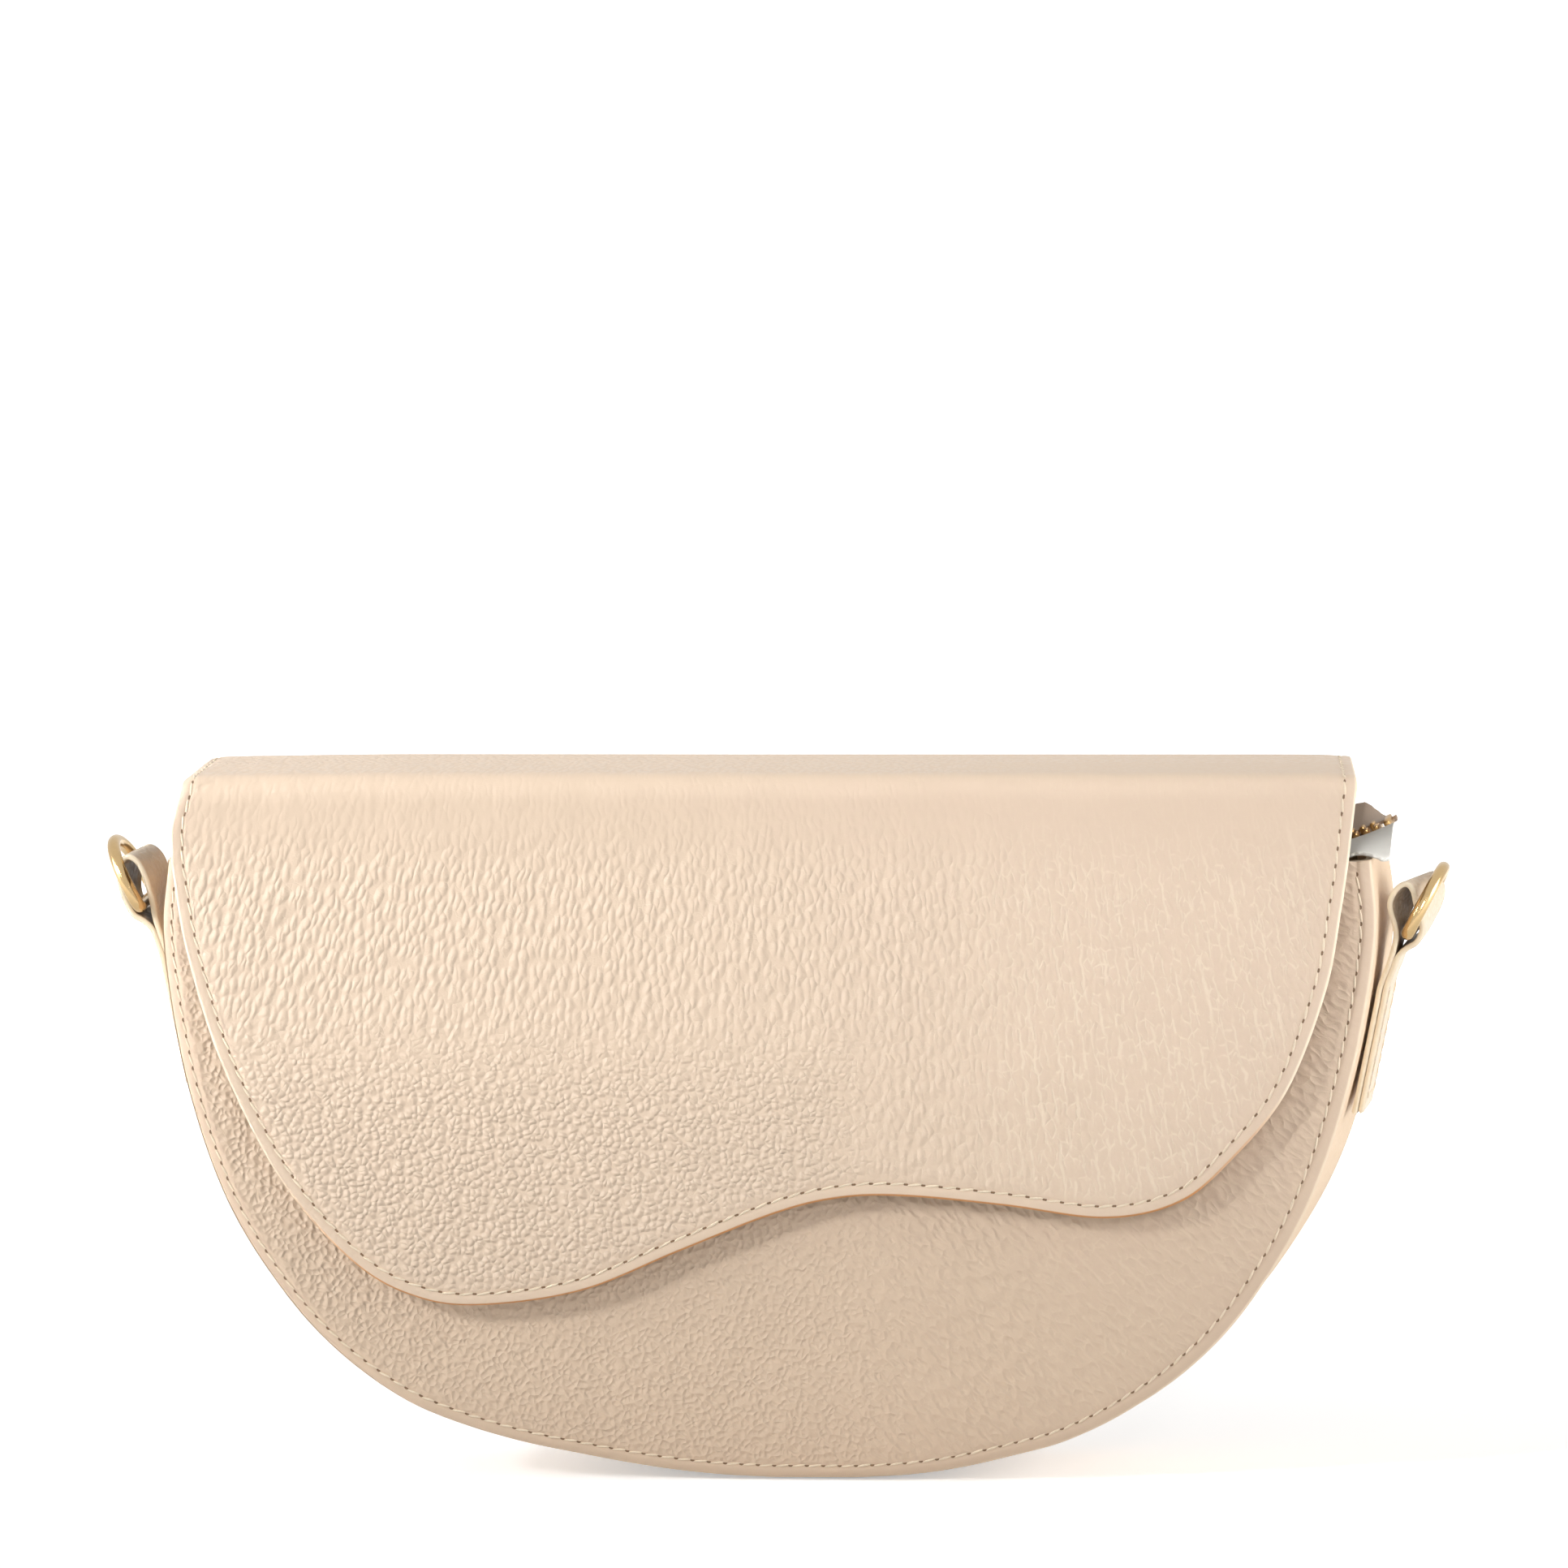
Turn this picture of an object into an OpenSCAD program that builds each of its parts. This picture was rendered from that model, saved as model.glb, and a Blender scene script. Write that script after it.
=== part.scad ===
// Half-moon saddle handbag with a wavy flap, a zip under it and a D-ring at each side.
// The front faces -Y, +X is to the right seen from the front, and the bag stands on z = 0.

/* [Body] */
// Width of the front and back panels at their widest
body_w = 280; // [250:2:310]
// Height of the front panel, from the base to its top edge
panel_h = 143; // [130:1:156]
// Depth of the body where it bulges most
body_d = 60; // [54:1:72]
// Width of the flat stretch of the base that the bag stands on
rest_flat_w = 40; // [28:1:48]
// How far the lowest stretch of the base lies to the right of the middle
base_skew = 8; // [0:1:12]
// Thickness of the leather of the front and back panels
panel_t = 2; // [1.6:0.1:2.4]
// How far the back panel reaches above the front one
back_rise = 8; // [4:0.5:8]
// Thickness of the leather of the gusset
gusset_t = 1.6; // [1.3:0.1:2]
// Width of the gusset's turned seam behind each panel
seam_w = 7; // [5:0.5:10]
// Gap between two plies that are sewn or glued together
ply_gap = 0.1; // [0.05:0.05:0.2]

/* [Lining] */
// Thickness of the board that stiffens each panel
stiffener_t = 1.2; // [0.8:0.1:1.5]
// Thickness of the cloth lining
lining_t = 0.8; // [0.6:0.1:1]
// How far the lining's top edge lies below that of the front panel
lining_drop = 5; // [4:0.5:10]
// Width of the inner pocket
pocket_w = 110; // [80:1:140]
// Height of the inner pocket
pocket_h = 60; // [45:1:70]
// Height of the pocket's foot above the base
pocket_z = 45; // [40:1:55]
// How far the pocket stands open
pocket_open = 6; // [5:0.5:8]

/* [Flap] */
// Height of the flap's top above the front panel's top edge
flap_rise = 20; // [19:0.5:24]
// Thickness of the flap's leather
flap_leather_t = 1.4; // [1.1:0.1:1.6]
// Thickness of the flap's lining
flap_lining_t = 1; // [0.8:0.1:1.2]
// Space between the closed flap and the front panel, which holds the snap
flap_gap = 3.4; // [3.4:0.1:4.5]
// Inner radius of the flap's two rolled folds
flap_roll_r = 9; // [7:0.5:10]
// How far the flap's back strip reaches below the front panel's top edge
flap_lap = 22; // [16:1:30]
// Clearance between the flap's stretches at its two fold lines
fold_gap = 0.3; // [0.2:0.1:0.4]

/* [Magnetic snap] */
// Diameter of the magnetic snap
snap_d = 18; // [14:1:20]
// Thickness of the magnet on the front panel
snap_magnet_t = 1.5; // [1.2:0.1:1.6]
// Thickness of the cap on the flap
snap_cap_t = 0.8; // [0.6:0.1:1]
// Clearance between the closed halves of the snap
snap_gap = 0.3; // [0.2:0.1:0.4]
// Diameter of the rivet that holds the magnet
snap_rivet_d = 4; // [3:0.5:5]
// Sideways place of the snap
snap_x = -12; // [-30:1:20]
// Height of the snap above the base
snap_z = 84; // [78:1:92]

/* [Zip] */
// Clearance between the edge of a zip tape and the panel beside it
tape_gap = 0.6; // [0.5:0.1:0.9]
// Thickness of the zip tape
tape_t = 0.8; // [0.6:0.1:1]
// Height of the zip's middle above the front panel's top edge
zip_lift = 1.2; // [1:0.1:2]
// Tilt of the zip, which rises to the back, in degrees
zip_tilt = 10; // [8:1:11]
// Distance from one tooth to the next in a row
tooth_pitch = 3; // [2.6:0.1:3.4]
// Height of a tooth through the tape
tooth_t = 2.4; // [2:0.1:2.6]
// Reach of a tooth from the tape towards the middle
tooth_l = 1.9; // [1.6:0.1:2]
// Slot between the two rows of teeth, in which the slider's wedge runs
row_slot = 1.6; // [1.5:0.1:2]
// Length of the slider
slider_l = 10; // [9:0.5:12]
// Width of the slider
slider_w = 9; // [8.6:0.2:10]
// Thickness of the slider's plates
slider_plate_t = 1; // [0.8:0.1:1.2]
// Clearance between the slider and what it runs on
slider_gap = 0.3; // [0.25:0.05:0.4]
// Reach of the pull from its pin
pull_l = 8; // [6.5:0.5:9]
// Width of the pull
pull_w = 5; // [4:0.5:6]
// Thickness of the pull
pull_t = 1.2; // [1:0.1:1.4]

/* [Rings] */
// Width inside a D-ring, for the strap's snap hook
ring_inner_w = 20; // [20:0.5:24]
// Diameter of the ring's wire
ring_wire_d = 3; // [2.5:0.1:3.4]
// Straight stretch of the ring's arms
ring_arm_l = 4; // [3:0.5:6]
// Angle at which the rings stand up from level, in degrees
ring_tilt = 62; // [50:1:75]
// Width of the leather tab that holds the ring
tab_w = 18; // [14:0.5:18]
// Thickness of the doubled tab
tab_t = 2.8; // [2.4:0.1:3.2]
// Length of the tab below the ring's bar
tab_l = 42; // [35:1:50]
// Height of the right ring's bar below the front panel's top edge
ring_drop = 18; // [15:0.5:22]
// How much higher the left ring sits than the right one
ring_step = 6; // [0:0.5:6]

/* [Hidden] */

$fn = 48;
leather = "#ead3b8";
suede = "#cdb79c";
cloth = "#e6dccb";
board = "#9a8f80";
metal = "#d4b064";
tape = "#cfc8bd";

// Overrun of the cuts
over = 1;
// Steps of a spline's span, of a panel's side profile and of a rolled fold
moon_steps = 4;
flap_steps = 3;
side_steps = 3;
roll_steps = 6;

// Half of the panels' outline, from the top edge down: shares of half the width and of the height
moon_shares = [
    [0.993, 1], [1, 0.87], [0.961, 0.655], [0.893, 0.459], [0.797, 0.302],
    [0.702, 0.198], [0.59, 0.119], [0.466, 0.066], [0.231, 0.0145],
];
// Share of the height over which the skew of the base fades out
skew_share = 0.13;
// Half of the side profile, from the base up: shares of the height and of half the depth
side_shares = [[0, 0.73], [0.15, 0.9], [0.38, 1], [0.6, 0.925], [0.8, 0.76], [0.9, 0.675], [1, 0.6]];
// The flap's edge from its left side round to its right: shares of half the width and of the height
flap_shares = [
    [-0.98, 1], [-0.955, 0.865], [-0.897, 0.69], [-0.795, 0.497], [-0.675, 0.363], [-0.571, 0.307],
    [-0.463, 0.2955], [-0.3, 0.32], [-0.14, 0.384], [0.023, 0.447], [0.131, 0.472], [0.24, 0.4745],
    [0.4, 0.46], [0.563, 0.4405], [0.683, 0.465], [0.767, 0.53], [0.86, 0.64], [0.925, 0.8],
    [0.953, 0.93], [0.958, 1],
];
// Share of the height at which the flap's section starts, below its lowest point
flap_foot_share = 0.24;

// Thickness of the whole flap, and where the plies lie
flap_t = flap_lining_t + ply_gap + flap_leather_t;
mid_y = (flap_gap + flap_t) / 2;
flange_at = panel_t + ply_gap;
lining_at = flange_at + gusset_t + ply_gap;
pocket_at = lining_at + lining_t + ply_gap;
gusset_top = panel_h - ply_gap;
lining_top = panel_h - lining_drop;
stiffener_set = seam_w + ply_gap;
stiffener_top = panel_h - seam_w;
flap_top_in = panel_h + flap_rise - flap_t;

// Points of a curve through p, with n steps from each point to the next
function knot(p, i) =
    i < 0 ? 2 * p[0] - p[1] : i >= len(p) ? 2 * p[len(p) - 1] - p[len(p) - 2] : p[i];
function between(a, b, c, d, t) =
    (2 * b + (c - a) * t + (2 * a - 5 * b + 4 * c - d) * t * t + (3 * b - a - 3 * c + d) * t * t * t) / 2;
function spline(p, n) = concat(
    [for (i = [0 : len(p) - 2], k = [0 : n - 1])
        between(knot(p, i - 1), p[i], p[i + 1], knot(p, i + 2), k / n)],
    [p[len(p) - 1]]);
function reversed(p) = [for (i = [len(p) - 1 : -1 : 0]) p[i]];
function mirrored(p) = [for (q = p) [-q[0], q[1]]];

// A path moved to its own right by d, and the strip between two such paths
function along(p, i) = p[min(i + 1, len(p) - 1)] - p[max(i - 1, 0)];
function to_right(p, i) = [along(p, i)[1], -along(p, i)[0]] / norm(along(p, i));
function shifted(p, d) = [for (i = [0 : len(p) - 1]) p[i] + d * to_right(p, i)];
function strip(p, a, b) = concat(shifted(p, a), reversed(shifted(p, b)));

// Outline of the panels in XZ, drawn from the upper right round the base to the upper left
function on_base(p) = [p[0], max(0, p[1])];
function skewed(p) = [p[0] + base_skew * pow(max(0, 1 - p[1] / (skew_share * panel_h)), 2), p[1]];
moon_half = [for (p = spline(concat(
        [for (s = moon_shares) [s[0] * body_w / 2, s[1] * panel_h]],
        [[rest_flat_w / 2, 0]]), moon_steps)) on_base(p)];
moon_path = [for (p = concat(
        [[moon_half[0][0], panel_h + flap_rise]], moon_half,
        reversed(mirrored(moon_half)), [[-moon_half[0][0], panel_h + flap_rise]])) skewed(p)];
function half_x(z) = lookup(z, [for (p = reversed(moon_half)) [p[1], p[0]]]);

// Section of the front panel's outer face in YZ, from the base up, with y from the bag's middle
side_path = spline([for (s = side_shares) [-s[1] * body_d / 2, s[0] * panel_h]], side_steps);
function half_d(z) = lookup(z, [for (p = side_path) [p[1], -p[0]]]);
long_side = concat(
    [[-half_d(0), -over]], side_path, [[-half_d(panel_h), panel_h + flap_rise]]);
function core(d) = concat(shifted(long_side, d), reversed(mirrored(shifted(long_side, d))));

// Section of the flap's inner face, from its foot over the top and down the back
roll_z = flap_top_in - flap_roll_r;
// The back panel ends below the roll
back_top = min(panel_h + back_rise, roll_z);
front_roll_y = -half_d(panel_h) - flap_gap + flap_roll_r;
back_roll_y = half_d(panel_h) + ply_gap - flap_roll_r;
function roll(y, from, to) = [for (k = [0 : roll_steps])
    let (a = from + (to - from) * k / roll_steps)
        [y + flap_roll_r * cos(a), roll_z + flap_roll_r * sin(a)]];
flap_path = concat(
    [for (p = shifted(side_path, -flap_gap)) if (p[1] > flap_foot_share * panel_h) p],
    roll(front_roll_y, 180, 90), roll(back_roll_y, 90, 0),
    [for (p = reversed(mirrored(shifted(side_path, -ply_gap)))) if (p[1] > panel_h - flap_lap) p]);
flap_edge = spline(
    [for (s = flap_shares) [s[0] * body_w / 2, s[1] * panel_h]], flap_steps);
flap_left = flap_edge[0][0];
flap_right = flap_edge[len(flap_edge) - 1][0];
// The fold lines lie on the flap's outer skin, halfway round each roll
fold_reach = (flap_roll_r + flap_t) * cos(45);
fold_z = roll_z + fold_reach;
hinge_y = back_roll_y + fold_reach;
fold_y = front_roll_y - fold_reach;

// Solids swept straight through the bag: an XZ outline along Y, and a YZ section along X
module through_y(outline) {
    rotate([90, 0, 0]) linear_extrude(height = 4 * body_d, center = true) polygon(outline);
}
module through_x(section) {
    translate([0, mid_y, 0]) rotate([90, 0, 90])
        linear_extrude(height = 2 * body_w, center = true) polygon(section);
}
module below(z) {
    translate([-body_w, -body_d, z - 2 * panel_h]) cube([2 * body_w, 2 * body_d, 2 * panel_h]);
}
module above(z) {
    translate([-body_w, -body_d, z]) cube([2 * body_w, 2 * body_d, 2 * panel_h]);
}

// One flat ply of the body: an outline at a distance from the edge, between two depths
module ply(set, from, to, top, back = false) {
    section = strip(long_side, from, to);
    intersection() {
        through_y(shifted(moon_path, set));
        through_x(back ? mirrored(section) : section);
        below(top);
    }
}

// A band round the bag's edge, with a turned seam or without
module band(set, thick, depth, top, turn) {
    difference() {
        intersection() {
            through_y(shifted(moon_path, set));
            through_x(core(depth));
            below(top);
        }
        intersection() {
            through_y(shifted(moon_path, set + thick));
            through_x(core(depth + (turn > 0 ? thick : -over)));
        }
        if (turn > 0) through_y(shifted(moon_path, set + turn));
    }
}

// The snap's own frame: on the front panel's outer face, with z pointing out of the bag
snap_lean = atan2(half_d(snap_z - snap_d / 2) - half_d(snap_z + snap_d / 2), snap_d);
module at_snap() {
    translate([snap_x, mid_y - half_d(snap_z), snap_z]) rotate([90 - snap_lean, 0, 0]) children();
}
// The free room between the panel and the flap is shared out on both sides of the snap
snap_seat = (flap_gap - snap_magnet_t - snap_gap - snap_cap_t) / 2;
// The flat washer stays clear of the panel's curve
washer_t = stiffener_t - ply_gap;
washer_foot = flange_at + 2 * ply_gap + washer_t;

module front_panel() {
    color(leather) difference() {
        ply(0, 0, panel_t, panel_h);
        at_snap() cylinder(h = 4 * panel_t, d = snap_rivet_d + 2 * ply_gap, center = true);
    }
}
module back_panel() {
    color(leather) ply(0, 0, panel_t, back_top, back = true);
}
module gusset() {
    color(leather) band(0, gusset_t, flange_at, gusset_top, seam_w);
}
module front_stiffener() {
    color(board) difference() {
        ply(stiffener_set, flange_at, flange_at + stiffener_t, stiffener_top);
        at_snap() translate([0, 0, -lining_at])
            cylinder(h = lining_at, d = snap_d + 2 * ply_gap);
    }
}
module back_stiffener() {
    color(board) ply(stiffener_set, flange_at, flange_at + stiffener_t, stiffener_top, back = true);
}
module lining_front() {
    color(cloth) ply(gusset_t + ply_gap, lining_at, lining_at + lining_t, lining_top);
}
module lining_back() {
    color(cloth) ply(gusset_t + ply_gap, lining_at, lining_at + lining_t, lining_top, back = true);
}
module lining_gusset() {
    color(cloth) band(gusset_t + ply_gap, lining_t, pocket_at, lining_top, 0);
}

// The pocket is sewn to the back lining at its foot and sides, and open at its top
module pocket_block(from, to, side, foot, top) {
    intersection() {
        through_x(mirrored(strip(long_side, from, to)));
        translate([-pocket_w / 2 + side, -body_d, pocket_z + foot])
            cube([pocket_w - 2 * side, 2 * body_d, pocket_h - foot + top]);
    }
}
module inner_pocket() {
    color(cloth) difference() {
        pocket_block(pocket_at, pocket_at + pocket_open + lining_t, 0, 0, 0);
        pocket_block(pocket_at - over, pocket_at + pocket_open, lining_t, lining_t, over);
    }
}

// The side of a fold line on which the flap's free end lies; angle turns +Y to face that way
module past_fold(y, angle, gap) {
    translate([0, mid_y + y, fold_z]) rotate([angle, 0, 0])
        translate([-body_w, gap, -panel_h]) cube([2 * body_w, 2 * panel_h, 2 * panel_h]);
}
module flap_back_half() {
    translate([flap_left, mid_y, 0]) cube([flap_right - flap_left, body_d, 2 * panel_h]);
}
module flap_front_half() {
    intersection() {
        through_y(concat([[flap_left, 2 * panel_h]], flap_edge, [[flap_right, 2 * panel_h]]));
        translate([-body_w, mid_y - body_d, 0]) cube([2 * body_w, body_d, 2 * panel_h]);
    }
}
module flap_section(from, to) {
    through_x(strip(flap_path, -from, -to));
}
module flap_back_part(from, to) {
    intersection() {
        flap_section(from, to);
        flap_back_half();
        past_fold(hinge_y, -45, fold_gap / 2);
    }
}
module flap_front_part(from, to) {
    intersection() {
        flap_section(from, to);
        flap_front_half();
        past_fold(fold_y, -135, fold_gap / 2);
    }
}
module flap_top_part(from, to) {
    difference() {
        intersection() {
            flap_section(from, to);
            translate([flap_left, -body_d, fold_z - 2 * flap_roll_r])
                cube([flap_right - flap_left, 2 * body_d, panel_h]);
        }
        past_fold(hinge_y, -45, -fold_gap / 2);
        past_fold(fold_y, -135, -fold_gap / 2);
    }
}
leather_at = flap_lining_t + ply_gap;
module flap_back_strip() {
    color(leather) flap_back_part(leather_at, flap_t);
}
module flap_top() {
    color(leather) flap_top_part(leather_at, flap_t);
}
module flap_front() {
    color(leather) flap_front_part(leather_at, flap_t);
}
module flap_lining_back() {
    color(suede) flap_back_part(0, flap_lining_t);
}
module flap_lining_top() {
    color(suede) flap_top_part(0, flap_lining_t);
}
module flap_lining_front() {
    color(suede) flap_front_part(0, flap_lining_t);
}

module snap_magnet() {
    color(metal) at_snap() union() {
        translate([0, 0, snap_seat]) cylinder(h = snap_magnet_t, d = snap_d);
        translate([0, 0, -washer_foot])
            cylinder(h = washer_foot + snap_seat + snap_magnet_t / 2, d = snap_rivet_d);
    }
}
module snap_washer() {
    color(metal) at_snap() translate([0, 0, -washer_foot]) difference() {
        cylinder(h = washer_t, d = snap_d);
        translate([0, 0, -over]) cylinder(h = washer_t + 2 * over, d = snap_rivet_d + 2 * ply_gap);
    }
}
module snap_cap() {
    color(metal) at_snap() translate([0, 0, snap_seat + snap_magnet_t + snap_gap])
        cylinder(h = snap_cap_t, d = snap_d);
}

// The zip's own frame: its middle, with z square to the tapes
zip_z = panel_h + zip_lift;
module on_zip() {
    translate([0, mid_y, zip_z]) rotate([zip_tilt, 0, 0]) children();
}
// The zip runs level from its left end, and its right tail rises past the panels
level_share = 0.88;
end_share = 0.93;
tail_start = level_share * body_w / 2;
zip_start = -end_share * body_w / 2;
zip_end = body_w / 2 + ring_wire_d;
tail_l = zip_end - tail_start;
tail_rise = 6;
tail_bend = 1.6;
tail_steps = 5;
function tail_way(x) = max(0, x - tail_start) / tail_l;
function tail_z(x) = tail_rise * pow(tail_way(x), tail_bend);
function tail_turn(x) = atan2(tail_rise * tail_bend * pow(tail_way(x), tail_bend - 1), tail_l);
tape_path = concat([[zip_start, 0]], [for (k = [0 : tail_steps])
    let (x = tail_start + tail_l * k / tail_steps) [x, tail_z(x)]]);
tape_in = row_slot / 2 + tooth_l + ply_gap;
// A tape fills the mouth from the teeth to the panel
tape_w = half_d(panel_h) - panel_t - tape_gap - tape_in;
module zip_tape(side) {
    color(tape) on_zip() translate([0, side * (tape_in + tape_w / 2), 0]) rotate([90, 0, 0])
        linear_extrude(height = tape_w, center = true)
            polygon(strip(tape_path, -tape_t / 2, tape_t / 2));
}
module zip_tape_front() {
    zip_tape(-1);
}
module zip_tape_back() {
    zip_tape(1);
}

// The slider rests at the left end; teeth run from it to the right tail
slider_x = zip_start + slider_l;
stop_l = tooth_pitch / 2;
tooth_w_share = 0.43;
tooth_w = tooth_w_share * tooth_pitch;
teeth = floor((zip_end - 2 * stop_l - tooth_pitch - slider_x) / tooth_pitch);
module zip_row(side) {
    // The back row is half a pitch further on, so that the rows interlock
    start = slider_x + (side > 0 ? tooth_pitch / 2 : 0);
    color(metal) on_zip() for (i = [0 : teeth - 1])
        let (x = start + i * tooth_pitch)
            translate([x, side * (row_slot + tooth_l) / 2, tail_z(x)]) rotate([0, -tail_turn(x), 0])
                cube([tooth_w, tooth_l, tooth_t], center = true);
}
module zip_teeth_front() {
    zip_row(-1);
}
module zip_teeth_back() {
    zip_row(1);
}
module zip_top_stops() {
    x = slider_x - slider_l / 2 - slider_gap - stop_l;
    color(metal) on_zip() for (side = [-1, 1])
        translate([x, side * (row_slot + tooth_l) / 2, tail_z(x)])
            cube([stop_l, tooth_l, tooth_t], center = true);
}
module zip_bottom_stop() {
    x = zip_end - stop_l;
    color(metal) on_zip() translate([x, 0, tail_z(x)]) rotate([0, -tail_turn(x), 0])
        cube([stop_l, row_slot + 2 * tooth_l, tooth_t], center = true);
}

// The slider is two plates with turned rims, joined by the wedge that parts the rows
slot_z = tooth_t / 2 + slider_gap;
slider_top = slot_z + slider_plate_t;
rim_w = slider_plate_t;
rim_z = tape_t / 2 + slider_gap;
wedge_w = row_slot - 2 * slider_gap;
wedge_l = slider_l / 4;
lug_w = slider_plate_t;
lug_l = 3;
pin_r = 0.6;
pin_gap = 0.1;
knuckle_w = 3;
knuckle_r = pin_r + pin_gap + pin_r;
pin_z = slider_top + knuckle_r + slider_gap;
module zip_slider() {
    color(metal) on_zip() translate([slider_x, 0, 0]) {
        for (side = [-1, 1]) {
            translate([0, 0, side * (slot_z + slider_plate_t / 2)])
                cube([slider_l, slider_w, slider_plate_t], center = true);
            for (edge = [-1, 1])
                translate([0, edge * (slider_w - rim_w) / 2, side * (rim_z + slider_top) / 2])
                    cube([slider_l, rim_w, slider_top - rim_z], center = true);
            translate([0, side * (knuckle_w + lug_w + 2 * slider_gap) / 2, 0]) {
                translate([-lug_l / 2, -lug_w / 2, slider_top - over / 2])
                    cube([lug_l, lug_w, pin_z - slider_top + over / 2]);
                translate([0, 0, pin_z]) rotate([90, 0, 0])
                    cylinder(h = lug_w, d = lug_l, center = true);
            }
        }
        translate([-slider_l / 2, -wedge_w / 2, -slider_top + over / 2])
            cube([wedge_l, wedge_w, 2 * slider_top - over]);
        translate([0, 0, pin_z]) rotate([90, 0, 0])
            cylinder(h = knuckle_w + 2 * slider_gap + lug_w, r = pin_r, center = true);
    }
}
module zip_pull() {
    neck_l = lug_l / 2 + 2 * slider_gap;
    color(metal) on_zip() translate([slider_x, 0, pin_z]) difference() {
        union() {
            rotate([90, 0, 0]) cylinder(h = knuckle_w, r = knuckle_r, center = true);
            translate([-neck_l - pull_t, -knuckle_w / 2, -pull_t / 2])
                cube([neck_l + pull_t, knuckle_w, pull_t]);
            translate([pull_w / 2 - pull_l, 0, 0]) cylinder(h = pull_t, d = pull_w, center = true);
            translate([pull_w / 2 - pull_l, -pull_w / 2, -pull_t / 2])
                cube([pull_l - pull_w / 2 - neck_l, pull_w, pull_t]);
        }
        rotate([90, 0, 0]) cylinder(h = 2 * knuckle_w, r = pin_r + pin_gap, center = true);
    }
}

// The ring's bar runs along Y in the loop at the top of its tab
ring_z = panel_h - ring_drop;
left_ring_z = ring_z + ring_step;
ring_r = ring_wire_d / 2;
loop_gap = 0.25;
loop_wall = tab_t / 2;
loop_r = ring_r + loop_gap + loop_wall;
tab_stand = 0.35;
function tab_top_z(bar_z) = bar_z - 2 * loop_r;
function tab_foot_z(bar_z) = bar_z - tab_l;
// The tab's inner face is a straight line that touches the gusset's curve halfway up
function tab_mid_z(bar_z) = (tab_top_z(bar_z) + tab_foot_z(bar_z)) / 2;
function tab_slope(bar_z) =
    (half_x(tab_top_z(bar_z)) - half_x(tab_foot_z(bar_z))) / (tab_top_z(bar_z) - tab_foot_z(bar_z));
function tab_x(bar_z, z) =
    half_x(tab_mid_z(bar_z)) + tab_slope(bar_z) * (z - tab_mid_z(bar_z)) + tab_stand;
function ring_x(bar_z) = tab_x(bar_z, bar_z) + tab_t / 2 + loop_r;
ring_half_w = ring_inner_w / 2 + ring_r;
// The strip's corners end inside the loop's wall
corner_r = loop_r - loop_wall / 2;
corner_turn = 50;
module ring_tab(bar_z) {
    bar_x = ring_x(bar_z);
    top_z = tab_top_z(bar_z);
    foot_z = tab_foot_z(bar_z);
    color(leather) difference() {
        union() {
            translate([bar_x, mid_y, bar_z]) rotate([90, 0, 0])
                cylinder(h = tab_w, r = loop_r, center = true);
            translate([0, mid_y, 0]) rotate([90, 0, 0])
                linear_extrude(height = tab_w, center = true) polygon([
                    [tab_x(bar_z, foot_z), foot_z],
                    [tab_x(bar_z, top_z), top_z],
                    [bar_x - corner_r, bar_z],
                    [bar_x + corner_r * cos(corner_turn), bar_z - corner_r * sin(corner_turn)],
                    [tab_x(bar_z, top_z) + tab_t, top_z],
                    [tab_x(bar_z, foot_z) + tab_t, foot_z],
                ]);
        }
        translate([bar_x, mid_y, bar_z]) rotate([90, 0, 0])
            cylinder(h = 2 * tab_w, r = ring_r + loop_gap, center = true);
    }
}
module ring_tab_right() {
    ring_tab(ring_z);
}
module ring_tab_left() {
    mirror([1, 0, 0]) ring_tab(left_ring_z);
}
module d_ring(bar_z) {
    color(metal) translate([ring_x(bar_z), mid_y, bar_z]) rotate([0, -ring_tilt, 0]) {
        rotate([90, 0, 0]) cylinder(h = 2 * ring_half_w, r = ring_r, center = true);
        for (side = [-1, 1]) translate([0, side * ring_half_w, 0]) {
            sphere(r = ring_r);
            rotate([0, 90, 0]) cylinder(h = ring_arm_l, r = ring_r);
        }
        translate([ring_arm_l, 0, 0]) rotate([0, 0, -90]) rotate_extrude(angle = 180)
            translate([ring_half_w, 0]) circle(r = ring_r);
    }
}
module d_ring_right() {
    d_ring(ring_z);
}
module d_ring_left() {
    mirror([1, 0, 0]) d_ring(left_ring_z);
}

front_panel();
back_panel();
gusset();
front_stiffener();
back_stiffener();
lining_front();
lining_back();
lining_gusset();
inner_pocket();
flap_back_strip();
flap_top();
flap_front();
flap_lining_back();
flap_lining_top();
flap_lining_front();
snap_magnet();
snap_washer();
snap_cap();
zip_tape_front();
zip_tape_back();
zip_teeth_front();
zip_teeth_back();
zip_top_stops();
zip_bottom_stop();
zip_slider();
zip_pull();
ring_tab_left();
ring_tab_right();
d_ring_left();
d_ring_right();
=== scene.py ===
# %% [markdown]
# # A saddle handbag in pebbled leather
# The bag is a half-moon shell of leather. A flap with a wavy edge comes over its top,
# a zip closes its mouth and a D-ring stands at each side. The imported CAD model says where
# every piece sits, so this lesson only gives those pieces their looks.

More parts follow.
